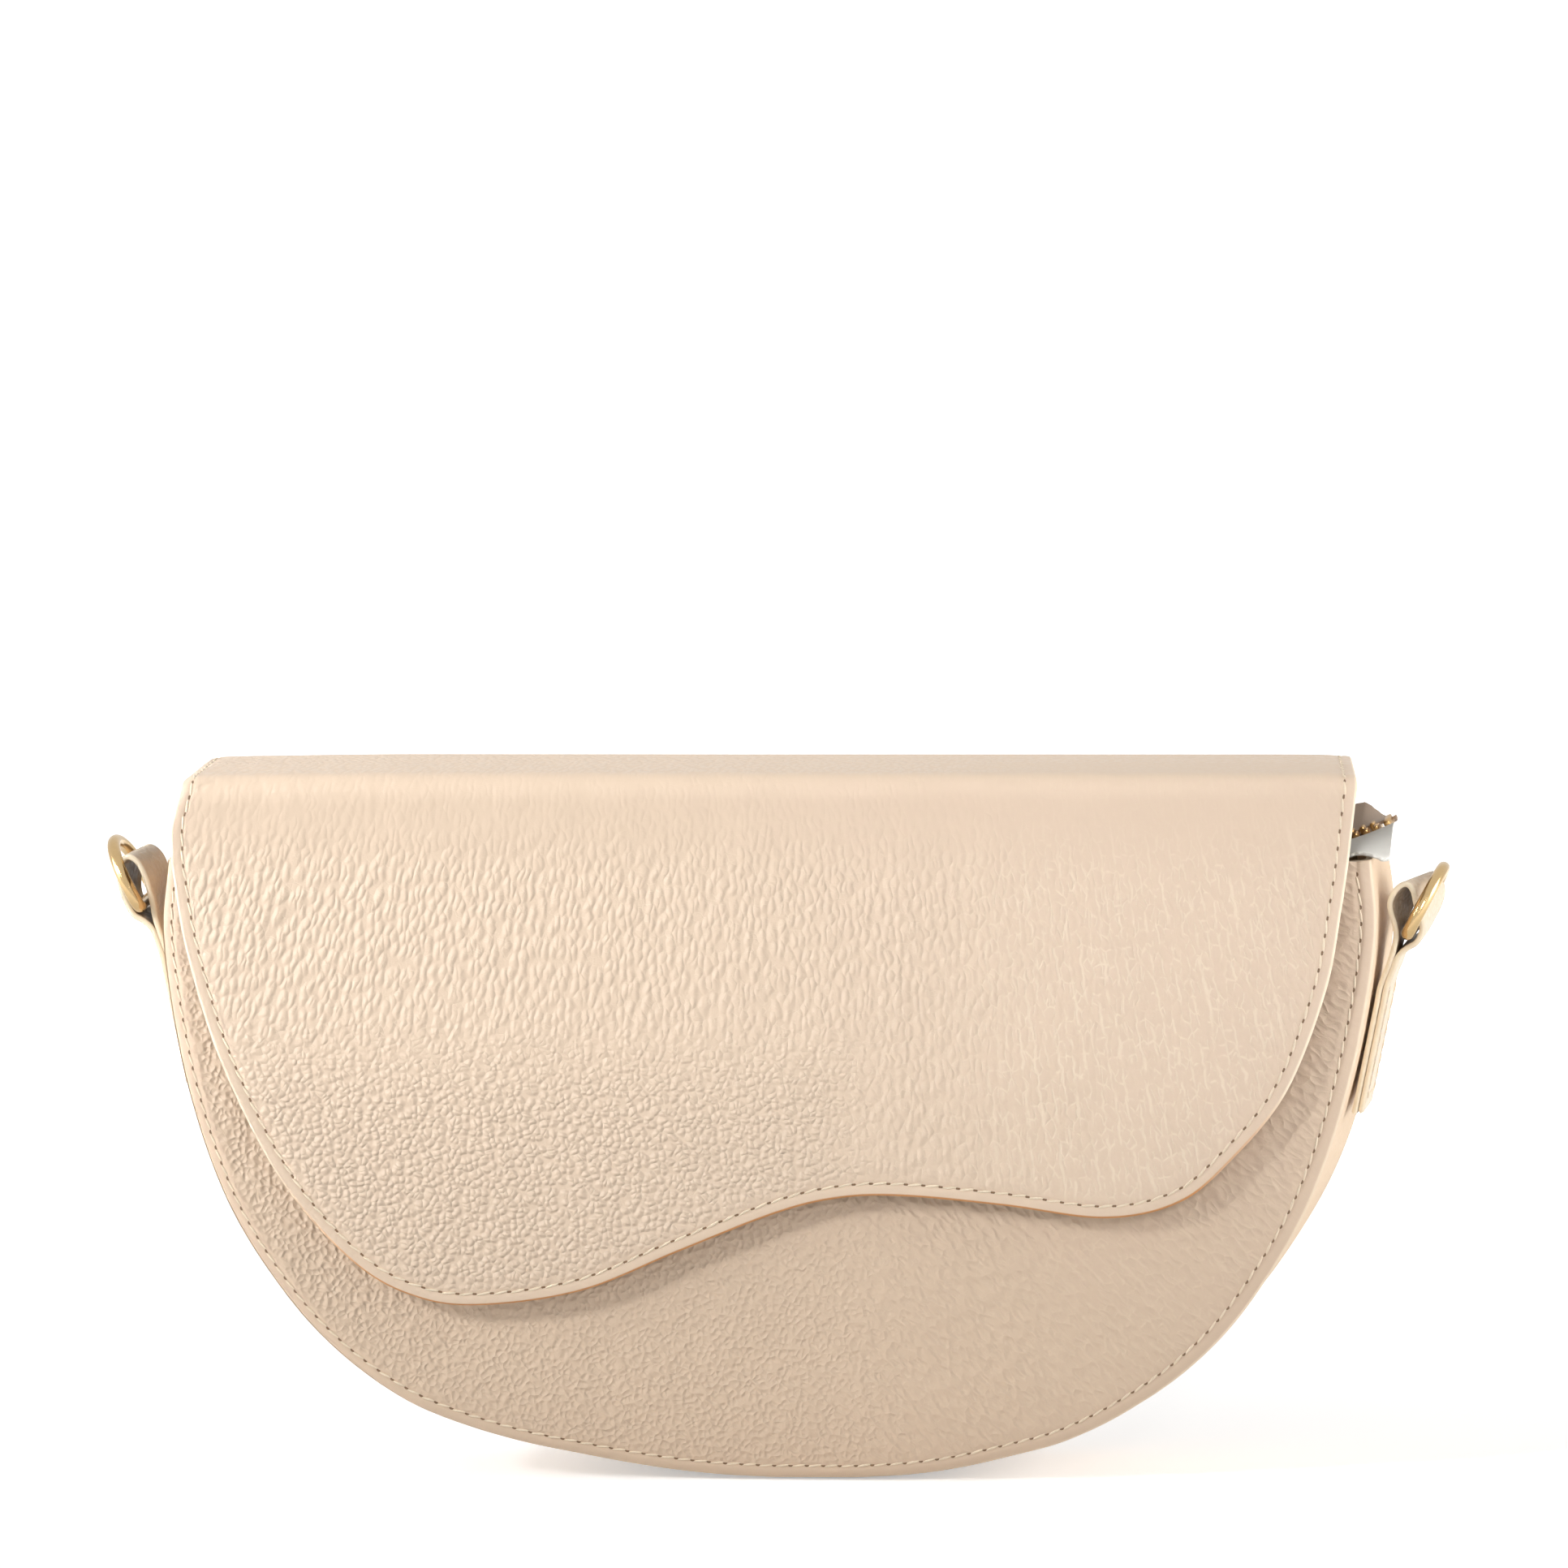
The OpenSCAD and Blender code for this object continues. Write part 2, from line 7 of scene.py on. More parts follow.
# %% Load the frame
import bpy
import math
import numpy as np
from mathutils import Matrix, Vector


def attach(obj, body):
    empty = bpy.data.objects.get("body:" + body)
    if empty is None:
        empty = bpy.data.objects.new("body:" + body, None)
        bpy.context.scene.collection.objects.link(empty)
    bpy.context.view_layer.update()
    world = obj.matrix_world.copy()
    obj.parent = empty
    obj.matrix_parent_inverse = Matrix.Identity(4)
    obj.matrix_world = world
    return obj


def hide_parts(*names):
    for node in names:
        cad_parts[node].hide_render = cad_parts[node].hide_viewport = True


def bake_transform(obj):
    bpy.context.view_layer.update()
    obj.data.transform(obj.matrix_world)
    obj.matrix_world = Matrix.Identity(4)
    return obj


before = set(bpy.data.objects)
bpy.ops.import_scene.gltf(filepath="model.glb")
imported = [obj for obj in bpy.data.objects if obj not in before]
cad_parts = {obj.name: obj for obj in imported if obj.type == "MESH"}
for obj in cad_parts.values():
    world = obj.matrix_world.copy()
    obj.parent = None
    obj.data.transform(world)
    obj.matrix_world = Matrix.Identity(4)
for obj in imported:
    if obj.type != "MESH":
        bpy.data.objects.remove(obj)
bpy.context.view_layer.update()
MM = 0.001

# %% [markdown]
# ## The bag's outline and its sections
# A bag maker cuts leather from paper patterns. These functions are the patterns: the
# half-moon outline of the panels, how deep the bag is at each height, and the way that
# the flap runs over the top. They repeat the CAD model's numbers in millimetres.

# %% Ways and shares
def curve_through(points, steps):
    """A smooth curve through the points, with that many steps from one to the next."""
    p = np.array(points, float)
    p = np.vstack([2 * p[0] - p[1], p, 2 * p[-1] - p[-2]])
    out = []
    for a, b, c, d in zip(p, p[1:], p[2:], p[3:]):
        for k in range(steps):
            t = k / steps
            out.append((2*b + (c-a)*t + (2*a-5*b+4*c-d)*t*t + (3*b-a-3*c+d)*t**3) / 2)
    return np.array(out + [p[-2]])

def way_along(path):
    """How far along the path each of its points lies."""
    return np.r_[0, np.cumsum(np.linalg.norm(np.diff(path, axis=0), axis=1))]

def even(path, count):
    """The same path with its points evenly spaced."""
    way = way_along(path)
    at = np.linspace(0, way[-1], count)
    return np.stack([np.interp(at, way, column) for column in path.T], 1)

def unit(v):
    return v / np.maximum(np.linalg.norm(v, axis=-1, keepdims=True), 1e-9)

def rise(value, low, high):
    """0 up to low, 1 from high on, straight in between."""
    return np.clip((value - low) / (high - low), 0, 1)

def smooth(value, low, high):
    t = rise(value, low, high)
    return t * t * (3 - 2 * t)

def spots(x, y, z):
    """Points from three grids or numbers, stretched to one shape."""
    return np.stack(np.broadcast_arrays(x, y, z), -1)

# %% Patterns
HALF_W, PANEL_H, HALF_D, MID_Y = 140, 143, 30, 2.95
HEAD_R, FOOT_SHIFT = 8, 8.5
moon = curve_through(np.array([
    (0.993, 1), (1, 0.87), (0.961, 0.655), (0.893, 0.459), (0.797, 0.302), (0.702, 0.198),
    (0.59, 0.119), (0.466, 0.066), (0.35, 0.037), (0.25, 0.0168), (0.16, 0.0052), (0.07, 0)
]) * (HALF_W, PANEL_H), 12)
moon[:, 1] = np.maximum(moon[:, 1], 0)
side = curve_through(np.array([(0.73, 0), (0.9, 0.15), (1, 0.38), (0.925, 0.6), (0.76, 0.8),
                               (0.675, 0.9), (0.6, 1)]) * (HALF_D, PANEL_H), 8)

def half_depth(z):
    return np.interp(z, side[:, 1], side[:, 0])

def panel_edge(top):
    """The half-moon edge from the upper right round the base to the upper left."""
    head = [[moon[0, 0], top]]
    if top > PANEL_H:
        head = [[moon[0, 0] - HEAD_R + HEAD_R * math.sin(a), top - HEAD_R + HEAD_R * math.cos(a)]
                for a in np.linspace(0, math.pi / 2, 12)]
    right = np.vstack([head, moon[moon[:, 1] < min(top, PANEL_H) - 0.5]])
    edge = np.vstack([right, right[::-1] * (-1, 1)])
    edge[:, 0] += FOOT_SHIFT * np.maximum(0, 1 - edge[:, 1] / (0.13 * PANEL_H)) ** 1.6
    return edge

print("Half width at the base and the top:", moon[-1, 0], moon[0, 0])

# %% [markdown]
# ## Cutting a piece of leather
# Leather is a sheet with two faces and a cut edge that the maker rounds and paints. A plain
# grid with a Solidify modifier would give a hard square edge all round. So each piece is laid
# out from three grids: one that wraps round the cut edge, and one for each face. The operators
# then join them, merge their seams and close the top, and every point keeps its place in the
# flat hide as a UV map, so the grain runs with the leather.

# %% Laying and sewing grids
def clear_selection():
    if bpy.context.object and bpy.context.object.mode != "OBJECT":
        bpy.ops.object.mode_set(mode="OBJECT")
    bpy.ops.object.select_all(action="DESELECT")

def edit_all():
    """Goes into edit mode with everything selected."""
    bpy.ops.object.mode_set(mode="EDIT")
    bpy.ops.mesh.select_all(action="SELECT")

def laid_grid(name, place, flat, marks):
    """A grid whose point (i, j) lies at place[i, j], in mm, with UVs flat[i, j], in mm."""
    rows, columns = place.shape[:2]
    clear_selection()
    bpy.ops.mesh.primitive_grid_add(x_subdivisions=columns - 1, y_subdivisions=rows - 1, size=2)
    grid = bpy.context.object
    grid.name = grid.data.name = name
    mesh = grid.data
    co = np.empty(len(mesh.vertices) * 3)
    mesh.vertices.foreach_get("co", co)
    co = co.reshape(-1, 3)
    j = np.rint((co[:, 0] + 1) / 2 * (columns - 1)).astype(int)
    i = np.rint((co[:, 1] + 1) / 2 * (rows - 1)).astype(int)
    mesh.vertices.foreach_set("co", (place[i, j] * MM).ravel())
    corner = np.empty(len(mesh.loops), int)
    mesh.loops.foreach_get("vertex_index", corner)
    mesh.uv_layers[0].name = "hide"
    mesh.uv_layers["hide"].data.foreach_set("uv", (flat[i, j][corner] / 100).ravel())
    for mark, values in marks.items():
        layer = mesh.attributes.new(mark, "FLOAT", "POINT")
        layer.data.foreach_set("value", values[i, j].astype(np.float32))
    mesh.update()
    return grid

def sewn(name, grids):
    """Joins grids to one piece, merges their seams and closes what is still open."""
    clear_selection()
    for grid in grids:
        grid.select_set(True)
    bpy.context.view_layer.objects.active = grids[0]
    if len(grids) > 1:
        bpy.ops.object.join()
    piece = bpy.context.object
    piece.name = piece.data.name = name
    edit_all()
    bpy.ops.mesh.remove_doubles(threshold=0.004 * MM)
    bpy.ops.mesh.dissolve_degenerate(threshold=0.002 * MM)
    bpy.ops.mesh.select_all(action="SELECT")
    bpy.ops.mesh.fill_holes(sides=0)
    bpy.ops.mesh.select_all(action="SELECT")
    bpy.ops.mesh.normals_make_consistent(inside=False)
    bpy.ops.object.mode_set(mode="OBJECT")
    bpy.ops.object.shade_smooth_by_angle(angle=math.radians(42))
    return piece

# %% Leather cutter
EDGE_BAND = 8.0  # how far the grid round the cut edge reaches in

def inward(path, inset):
    """A path moved to its own right, which is the inside of an edge drawn clockwise."""
    step = unit(np.gradient(path, axis=0))
    return path + np.stack([step[:, 1], -step[:, 0]], 1) * inset

def distance(x, s, edge):
    """How far each point lies from the edge."""
    p = np.stack([x.ravel(), s.ravel()], 1)
    best = np.full(len(p), 1e9)
    for a, b in zip(edge, edge[1:]):
        d = b - a
        t = np.clip(((p - a) @ d) / max(d @ d, 1e-12), 0, 1)
        best = np.minimum(best, np.hypot(*(p - a - t[:, None] * d).T))
    return best.reshape(x.shape)

def cut_leather(name, edge, head, thick, place, rows=44, looks=lambda x, s: (0 * x, 0 * x), turn=0.0):
    """edge runs round the piece in (x, s), s along the hide; head is how many points at each
    end lie on straight sides. place(x, s, inset, depth) gives points in mm, and looks(x, s)
    says how calm and how drawn the grain is. turn is how the pattern lay on the hide."""
    def hide(x, s):
        return np.stack([x * math.cos(turn) - s * math.sin(turn), x * math.sin(turn) + s * math.cos(turn)], 2)
    soft = min(0.6, thick * 0.42)
    front = [EDGE_BAND, 6.4, 5.2, 4.3, 3.7, 3.3, 3.0, 2.7, 2.4, 2.0, 1.5, 1.0, soft + 0.25, soft]
    arc = np.radians([65, 40, 15])
    round_in, round_down = soft - soft * np.cos(arc), soft - soft * np.sin(arc)
    inset = np.r_[front, round_in, 0, 0, round_in[::-1], soft, 1.5, EDGE_BAND]
    depth = np.r_[np.zeros(len(front)), round_down, soft, thick - soft,
                  (thick - soft + soft * np.sin(arc))[::-1], [thick] * 3]
    lines = np.stack([inward(edge, d) for d in inset], 1)
    if head:
        lines[0, :, 1] = lines[-1, :, 1] = edge[0, 1]
    x, s = lines[..., 0], lines[..., 1]
    calm, drawn = looks(x, s)
    down = np.abs(np.gradient(edge[:, 0])) / np.linalg.norm(np.gradient(edge, axis=0), axis=1)
    marks = {"rim": np.broadcast_to((inset < soft * 0.75).astype(float), x.shape),
             "paint": np.repeat(down[:, None], len(inset), 1),
             "calm": np.maximum(calm, np.maximum(1 - smooth(inset, 2.0, 6.0), depth / thick)),
             "drawn": drawn,
             "flesh": np.broadcast_to((depth > thick - 0.05).astype(float), x.shape)}
    wrapped = place(x, s, np.broadcast_to(inset, x.shape), depth[None, :])
    grids = [laid_grid(name + "_edge", wrapped, hide(x, s), marks)]
    inner = lines[:, 0]
    low = inner[head:len(inner) - head]
    left, right = inner[:head + 1], inner[len(inner) - head - 1:][::-1]
    share = (low[:, 0] - low[0, 0]) / (low[-1, 0] - low[0, 0])
    share = 0.8 * np.maximum.accumulate(np.clip(share, 0, 1)) + 0.2 * np.linspace(0, 1, len(low))
    share = ((share - share[0]) / (share[-1] - share[0]))[:, None]
    top_line = left[-1] + (right[-1] - left[-1]) * share
    face = top_line + (low - top_line) * np.linspace(0, 1, rows)[:, None, None]
    if head:
        face = np.vstack([left[:-1, None] + (right[:-1] - left[:-1])[:, None] * share, face])
    x, s = face[..., 0], face[..., 1]
    off = np.minimum(distance(x, s, edge), 40)
    off[-1] = off[:, 0] = off[:, -1] = EDGE_BAND
    none = np.zeros_like(x)
    calm, drawn = looks(x, s)
    for below, under, label in ((0.0, none, "_face"), (thick, none + 1, "_back")):
        marks = {"rim": none, "paint": none, "calm": np.maximum(calm, under), "drawn": drawn, "flesh": under}
        grids.append(laid_grid(name + label, place(x, s, off, none + below), hide(x, s), marks))
    return sewn(name, grids)

# %% [markdown]
# ## Sections
# A section says where a sheet runs through the bag, as a path in Y and Z. A sheet's point is
# found by its way along that path and by its depth below the outer skin.

# %% Sections
class Section:
    def __init__(self, path):
        self.path = even(np.array(path, float), 500)
        self.way = way_along(self.path)
        step = unit(np.gradient(self.path, axis=0))
        self.out = np.stack([step[:, 1], -step[:, 0]], 1)

    def at(self, s, lift):
        """Y and Z at a way s along the section, lifted off it."""
        return [np.interp(s, self.way, self.path[:, k]) + np.interp(s, self.way, self.out[:, k]) * lift
                for k in (0, 1)]

def profile(low, high, outwards, back=False):
    """The panels' side profile, moved outwards, as (y, z) from low to high."""
    z = np.linspace(low, high, 160)
    path = np.stack([-half_depth(z), z], 1)
    step = unit(np.gradient(path, axis=0))
    path += np.stack([-step[:, 1], step[:, 0]], 1) * outwards
    return path * ((-1, 1) if back else (1, 1)) + (MID_Y, 0)

def hide_s(section, z):
    """The way along a section at a height."""
    order = np.argsort(section.path[:, 1])
    return np.interp(z, section.path[order, 1], section.way[order])

ROLL_R, ROLL_Z, FRONT_ROLL, BACK_ROLL, FLAP_T = 11.5, 151.5, MID_Y - 12.4, MID_Y + 9.1, 2.5
FRONT_FOLD_R, BACK_FOLD_R = 5.0, 8.0
TOP_Z = ROLL_Z + ROLL_R
CUT_Y = (FRONT_ROLL + BACK_ROLL) / 2

def fold(y, radius, turn):
    """A fold of that radius from the level top down to a side that stands at y."""
    a = np.radians(np.linspace(0, 90, 30))
    return np.stack([y - turn * radius * (1 - np.sin(a)), TOP_Z - radius * (1 - np.cos(a))], 1)

def eased(path, low, high, reach):
    """The path with its kinks between two heights rounded off."""
    path = even(path, 500)
    count = 2 * int(reach / np.linalg.norm(path[1] - path[0]) / 2) + 1
    share = np.hanning(count + 2)[1:-1]
    longer = np.pad(path, ((count // 2, count // 2), (0, 0)), "reflect", reflect_type="odd")
    rounded = np.stack([np.convolve(longer[:, k], share / share.sum(), "valid") for k in (0, 1)], 1)
    part = (smooth(path[:, 1], low - 8, low) * (1 - smooth(path[:, 1], high, high + 4)))[:, None]
    return path * (1 - part) + rounded * part

fall = profile(38, PANEL_H, 3.4 + FLAP_T)[::-1]
over_front = [[[CUT_Y, TOP_Z]], fold(FRONT_ROLL - ROLL_R, FRONT_FOLD_R, -1), fall]
front_way = Section(eased(np.vstack(over_front), 134, 153, 22))
lap = profile(119, PANEL_H, 0.1 + FLAP_T, back=True)[::-1]
over_back = [[[CUT_Y, TOP_Z]], fold(BACK_ROLL + ROLL_R, BACK_FOLD_R, 1), lap]
back_way = Section(eased(np.vstack(over_back), 134, 150, 14))
print("Leather from the fold to the foot, mm:", round(front_way.way[-1], 1))

# %% [markdown]
# ## Finishes
# The hide is pebbled calf: soft rounded pebbles one to three millimetres wide, parted by
# fine creases, and drawn out to long broken lines where the hide was stretched. Painting them
# would look flat, so the grain is a group of Voronoi cells, waves and noise that drives a Bump
# node, and every leather piece shares it. The creases are also coloured: paler on the flap and
# body, a painted highlight where their edges catch the light, and darker on the gusset, tabs
# and suede, painted shade in them. The tops are a touch smoother, as on handled leather.

# %% Node helpers
def rgb(r, g, b):
    """A colour from 0 to 255, as Blender's linear values."""
    def linear(v):
        v /= 255
        return v / 12.92 if v <= 0.04045 else ((v + 0.055) / 1.055) ** 2.4
    return (linear(r), linear(g), linear(b), 1)

def feed(node, **values):
    """Fills sockets, by name or by number as i0, with values or with other nodes' outputs."""
    for key, value in values.items():
        socket = node.inputs[int(key[1:]) if key[1:].isdigit() else key.replace("_", " ")]
        if isinstance(value, bpy.types.NodeSocket):
            node.id_data.links.new(value, socket)
        else:
            socket.default_value = value
    return node

def add(tree, kind, settings={}, **values):
    made = tree.nodes.new("ShaderNode" + kind)
    for key, value in settings.items():
        setattr(made, key, value)
    return feed(made, **values)

def maths(tree, operation, a, b, clamp=False):
    return add(tree, "Math", {"operation": operation, "use_clamp": clamp}, i0=a, i1=b).outputs[0]

def times(tree, first, *others):
    for value in others:
        first = maths(tree, "MULTIPLY", first, value)
    return first

def mix_colour(tree, share, a, b):
    return add(tree, "Mix", {"data_type": "RGBA"}, i0=share, i6=a, i7=b).outputs[2]

def mix_value(tree, share, a, b):
    return add(tree, "Mix", {"data_type": "FLOAT"}, i0=share, i2=a, i3=b).outputs[0]

def ramp(tree, value, low, high, start=0.0, stop=1.0, kind="SMOOTHSTEP"):
    """The value, stretched from low and high to start and stop."""
    made = add(tree, "MapRange", {"interpolation_type": kind}, i0=value, i1=low, i2=high, i3=start, i4=stop)
    return made.outputs[0]

def noise(tree, place, scale, detail, rough=0.5, kind="2D"):
    return add(tree, "TexNoise", {"noise_dimensions": kind},
               Vector=place, Scale=scale, Detail=detail, Roughness=rough)

def waves(tree, direction, **values):
    made = add(tree, "TexWave", {"bands_direction": direction, "wave_profile": "SIN"}, **values)
    return made.outputs["Fac"]

def move(tree, operation, **values):
    return add(tree, "VectorMath", {"operation": operation}, **values).outputs[0]

# %% Pebbled grain
def pebbles(tree, place, scale, soft, crease):
    """Soft domes and the thin lines between them."""
    found = [add(tree, "TexVoronoi", {"voronoi_dimensions": "2D", "feature": feature},
                 Vector=place, Scale=scale) for feature in ("SMOOTH_F1", "DISTANCE_TO_EDGE")]
    feed(found[0], Smoothness=soft)
    dome, line = (cell.outputs["Distance"] for cell in found)
    return ramp(tree, dome, 0.05, 0.75, 1.0, 0.0), ramp(tree, line, 0.0, crease, 1.0, 0.0)

def pebbled_grain():
    """As Drawn goes from 0 to 1, round pebbles grow long and then turn to drawn creases."""
    tree = bpy.data.node_groups.new("pebbled_grain", "ShaderNodeTree")
    for label, way, kind in (("Place", "INPUT", "Vector"), ("Pebbles", "INPUT", "Float"),
                             ("Drawn", "INPUT", "Float"), ("Height", "OUTPUT", "Float"),
                             ("Crease", "OUTPUT", "Float")):
        tree.interface.new_socket(label, in_out=way, socket_type="NodeSocket" + kind)
    place, count, drawn = list(tree.nodes.new("NodeGroupInput").outputs)[:3]
    stray = noise(tree, place, times(tree, count, 0.45), 1.0).outputs["Color"]
    away = move(tree, "SCALE", i0=move(tree, "SUBTRACT", i0=stray, i1=(0.5, 0.5, 0.5)), Scale=0.014)
    u, v, _ = add(tree, "SeparateXYZ", i0=move(tree, "ADD", i0=place, i1=away)).outputs
    fan = times(tree, u, maths(tree, "SUBTRACT", 1.0, times(tree, v, 0.16)))
    near, long, longest = [add(tree, "CombineXYZ", i0=across, i1=times(tree, v, down)).outputs[0]
                           for across, down in ((u, 1.1), (fan, 0.42), (fan, 0.16))]
    round_top, round_line = pebbles(tree, near, count, 0.2, 0.1)
    long_top, long_line = pebbles(tree, long, times(tree, count, 1.1), 0.3, 0.14)
    lines = waves(tree, "X", Vector=longest, Scale=times(tree, count, 0.21), Distortion=4.4, Detail=2.0,
                  Detail_Scale=1.3, Detail_Roughness=0.6)
    to_long, to_drawn = ramp(tree, drawn, 0.0, 0.5), ramp(tree, drawn, 0.5, 1.0)
    top = mix_value(tree, to_long, times(tree, round_top, 1.15), long_top)
    top = mix_value(tree, to_drawn, top, times(tree, long_top, 0.5))
    fade = noise(tree, near, times(tree, count, 0.5), 2.0, 0.6).outputs[0]
    gap = noise(tree, long, times(tree, count, 0.75), 2.0).outputs[0]
    broken = ramp(tree, fade, 0.44, 0.6, 0.05)
    ridge = times(tree, ramp(tree, lines, 0.8, 1.0), ramp(tree, gap, 0.4, 0.58), 0.85)
    net = maths(tree, "MAXIMUM", ridge, times(tree, long_line, broken, 0.9))
    crease = mix_value(tree, to_drawn, times(tree, round_line, broken, 0.45), net)
    fine = noise(tree, place, times(tree, count, 2.0), 2.0, 0.55).outputs[0]
    height = maths(tree, "ADD", top, times(tree, fine, 0.2))
    height = maths(tree, "SUBTRACT", height, times(tree, crease, 0.2))
    feed(tree.nodes.new("NodeGroupOutput"), Height=height, Crease=crease)
    return tree

grain = pebbled_grain()
print("Grain group:", [s.name for s in grain.interface.items_tree])

# %% Leather material
def new_material(name, **plain):
    """A material with its plain values set, with its tree and its shader."""
    made = bpy.data.materials.new(name)
    made.use_nodes = True
    return made, made.node_tree, feed(made.node_tree.nodes["Principled BSDF"], **plain)

def leather(name, colour, crease, edge, paint, pebbles=62.0, relief=0.38, rough=0.4):
    made, tree, skin = new_material(name, IOR=1.45, Specular_IOR_Level=0.4)
    hide = add(tree, "UVMap", {"uv_map": "hide"}).outputs[0]
    calm, drawn, rim, paint_here, flesh = [add(tree, "Attribute", {"attribute_name": mark}).outputs["Fac"]
                                           for mark in ("calm", "drawn", "rim", "paint", "flesh")]
    cells = add(tree, "Group", {"node_tree": grain}, Place=hide, Pebbles=pebbles, Drawn=drawn)
    height, lively = cells.outputs["Height"], maths(tree, "SUBTRACT", 1.0, calm)
    # The crease colour is painted light: a paler one is a painted highlight on the crease edges, a darker one
    # is painted shade in the creases.
    tone = mix_colour(tree, times(tree, cells.outputs["Crease"], 0.55, lively), rgb(*colour), rgb(*crease))
    cloud = noise(tree, hide, 1.4, 3.0, 0.55, "3D").outputs[0]
    patch = ramp(tree, cloud, 0.3, 0.7, 0.0, 0.12, "LINEAR")
    tone = mix_colour(tree, patch, tone, rgb(*[0.93 * c for c in colour]))
    tone = mix_colour(tree, flesh, tone, rgb(186, 164, 136))
    coat = mix_colour(tree, ramp(tree, paint_here, 0.45, 0.85), rgb(*edge), rgb(*paint))
    slow = add(tree, "Bump", Strength=1.0, Distance=0.5 * MM, Height=noise(tree, hide, 7.0, 2.0).outputs[0])
    depth = maths(tree, "ADD", times(tree, lively, 0.88), 0.12)
    depth = times(tree, height, maths(tree, "SUBTRACT", 1.0, rim), depth)
    bump = add(tree, "Bump", Strength=1.0, Distance=relief * MM, Height=depth, Normal=slow.outputs[0])
    feed(skin, Base_Color=mix_colour(tree, rim, tone, coat), Normal=bump.outputs[0],
         Roughness=ramp(tree, height, 0.1, 1.2, rough + 0.14, rough - 0.04, "LINEAR"))
    return made

# The second colour here is the flap's crease tone, a painted highlight where the crease edges catch the
# light.
CREAM, PAINTED_CREASE_GLINT, RAW, TAN = (230, 207, 183), (250, 234, 210), (248, 232, 206), (210, 148, 90)
BODY_RAW, GUSSET_RAW, TAB_RAW, SUEDE = (238, 218, 192), (238, 220, 194), (244, 230, 204), (176, 150, 124)
flap_hide = leather("flap_leather", CREAM, PAINTED_CREASE_GLINT, RAW, TAN)
# The body's paler crease tone is a painted highlight; the darker crease tones of the gusset, suede and tab
# below are painted shade in the creases.
body_hide = leather("body_leather", (223, 199, 174), (240, 220, 194), BODY_RAW, BODY_RAW)
gusset_hide = leather("gusset_leather_side", (238, 212, 182), (212, 184, 152), GUSSET_RAW, GUSSET_RAW,
                      relief=0.06, rough=0.6)
suede = leather("suede_side", SUEDE, (140, 116, 94), SUEDE, SUEDE, pebbles=240.0, relief=0.05, rough=0.85)
tab_hide = leather("tab_leather", (236, 216, 190), (205, 178, 148), TAB_RAW, TAB_RAW, relief=0.12)

# %% [markdown]
# ## Cloth, metal and thread
# The lining and the zip's tapes are twill, whose slanting ribs are a wave texture along the
# cloth's own UV map; the rear tape's twill is a darker copy, painted shade. The rings and the
# zip are pale gold plate and older brass, a little uneven in their shine. The thread varies in
# tone from strand to strand, and the needle holes are painted dark as the shade in them.

# %% Cloth, metal and thread materials
def cloth(name, light, dark, threads, relief=0.05):
    """Twill: slanting ribs across fine threads."""
    made, tree, skin = new_material(name, Sheen_Weight=0.25, Roughness=0.85)
    hide = add(tree, "UVMap", {"uv_map": "hide"}).outputs[0]
    ribs = waves(tree, "DIAGONAL", Vector=hide, Scale=threads, Distortion=0.6, Detail=1.0)
    bump = add(tree, "Bump", Strength=0.8, Distance=relief * MM, Height=ribs)
    feed(skin, Base_Color=mix_colour(tree, ribs, rgb(*dark), rgb(*light)), Normal=bump.outputs[0])
    return made

def speckled(tree, scale, detail):
    return noise(tree, add(tree, "TexCoord").outputs["Object"], scale, detail, kind="3D").outputs[0]

def metal(name, colour, rough):
    made, tree, skin = new_material(name, Metallic=1.0)
    wear = speckled(tree, 900.0, 3.0)
    dull = tuple(v * 0.9 for v in rgb(*colour)[:3]) + (1,)
    feed(skin, Base_Color=mix_colour(tree, wear, rgb(*colour), dull),
         Roughness=ramp(tree, wear, 0.2, 0.8, rough - 0.03, rough + 0.05, "LINEAR"))
    return made

def thread(name, colour, dark):
    made, tree, skin = new_material(name, Roughness=0.6)
    feed(skin, Base_Color=mix_colour(tree, speckled(tree, 2500.0, 1.0), rgb(*colour), rgb(*dark)))
    return made

gold = metal("pale_gold", (206, 176, 128), 0.2)
old_gold = metal("brass_teeth", (196, 158, 104), 0.28)
lining_twill = cloth("lining_twill", (214, 196, 168), (190, 170, 142), 260.0)
tape_twill = cloth("zip_twill", (250, 248, 240), (216, 213, 205), 230.0)
# The rear tape's twill is a darker copy of the front one, as painted shade.
shaded_tape_twill = cloth("zip_twill_back_shaded", (200, 176, 152), (156, 134, 114), 230.0)
board = cloth("board_fibre", (150, 138, 122), (128, 118, 104), 90.0, 0.02)
cream_thread = thread("cream_thread", (250, 236, 214), (232, 212, 184))
# The needle holes' colour is painted shade, the dark inside each hole.
hole_shade = thread("needle_hole_shade", (150, 118, 88), (112, 86, 62))

def dress(piece, material, body, slot, *stands_for):
    """Gives a finished piece its material, the body it rides on and the CAD nodes it stands for."""
    if material:
        piece.data.materials.clear()
        piece.data.materials.append(material)
    if body:
        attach(piece, body)
    if stands_for:
        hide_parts(*stands_for)
    return piece

# %% [markdown]
# ## Front and back panels
# Each panel is one half-moon of leather, pulled in along the row of stitches and soft outside
# it, so the rim falls away towards the seam. The back panel is the same pattern, a little taller.

# %% Panels
BACK_H, PANEL_T, HIDE_TURN = 151, 2.0, math.radians(48)

def stitch_inset(x):
    return 2.3 + 1.1 * smooth(x, -125, -60)

def panel_lift(x, inset):
    past_row = inset - stitch_inset(x)
    rim = (0.9 + 0.7 * smooth(-x, 40, 120)) * np.clip(1 - inset / 4.2, 0, 1) ** 2
    pull = 0.3 * np.exp(-(past_row / 0.6) ** 2)
    return 0.35 * (1 - np.exp(-np.maximum(0, past_row) / 4)) - rim - pull

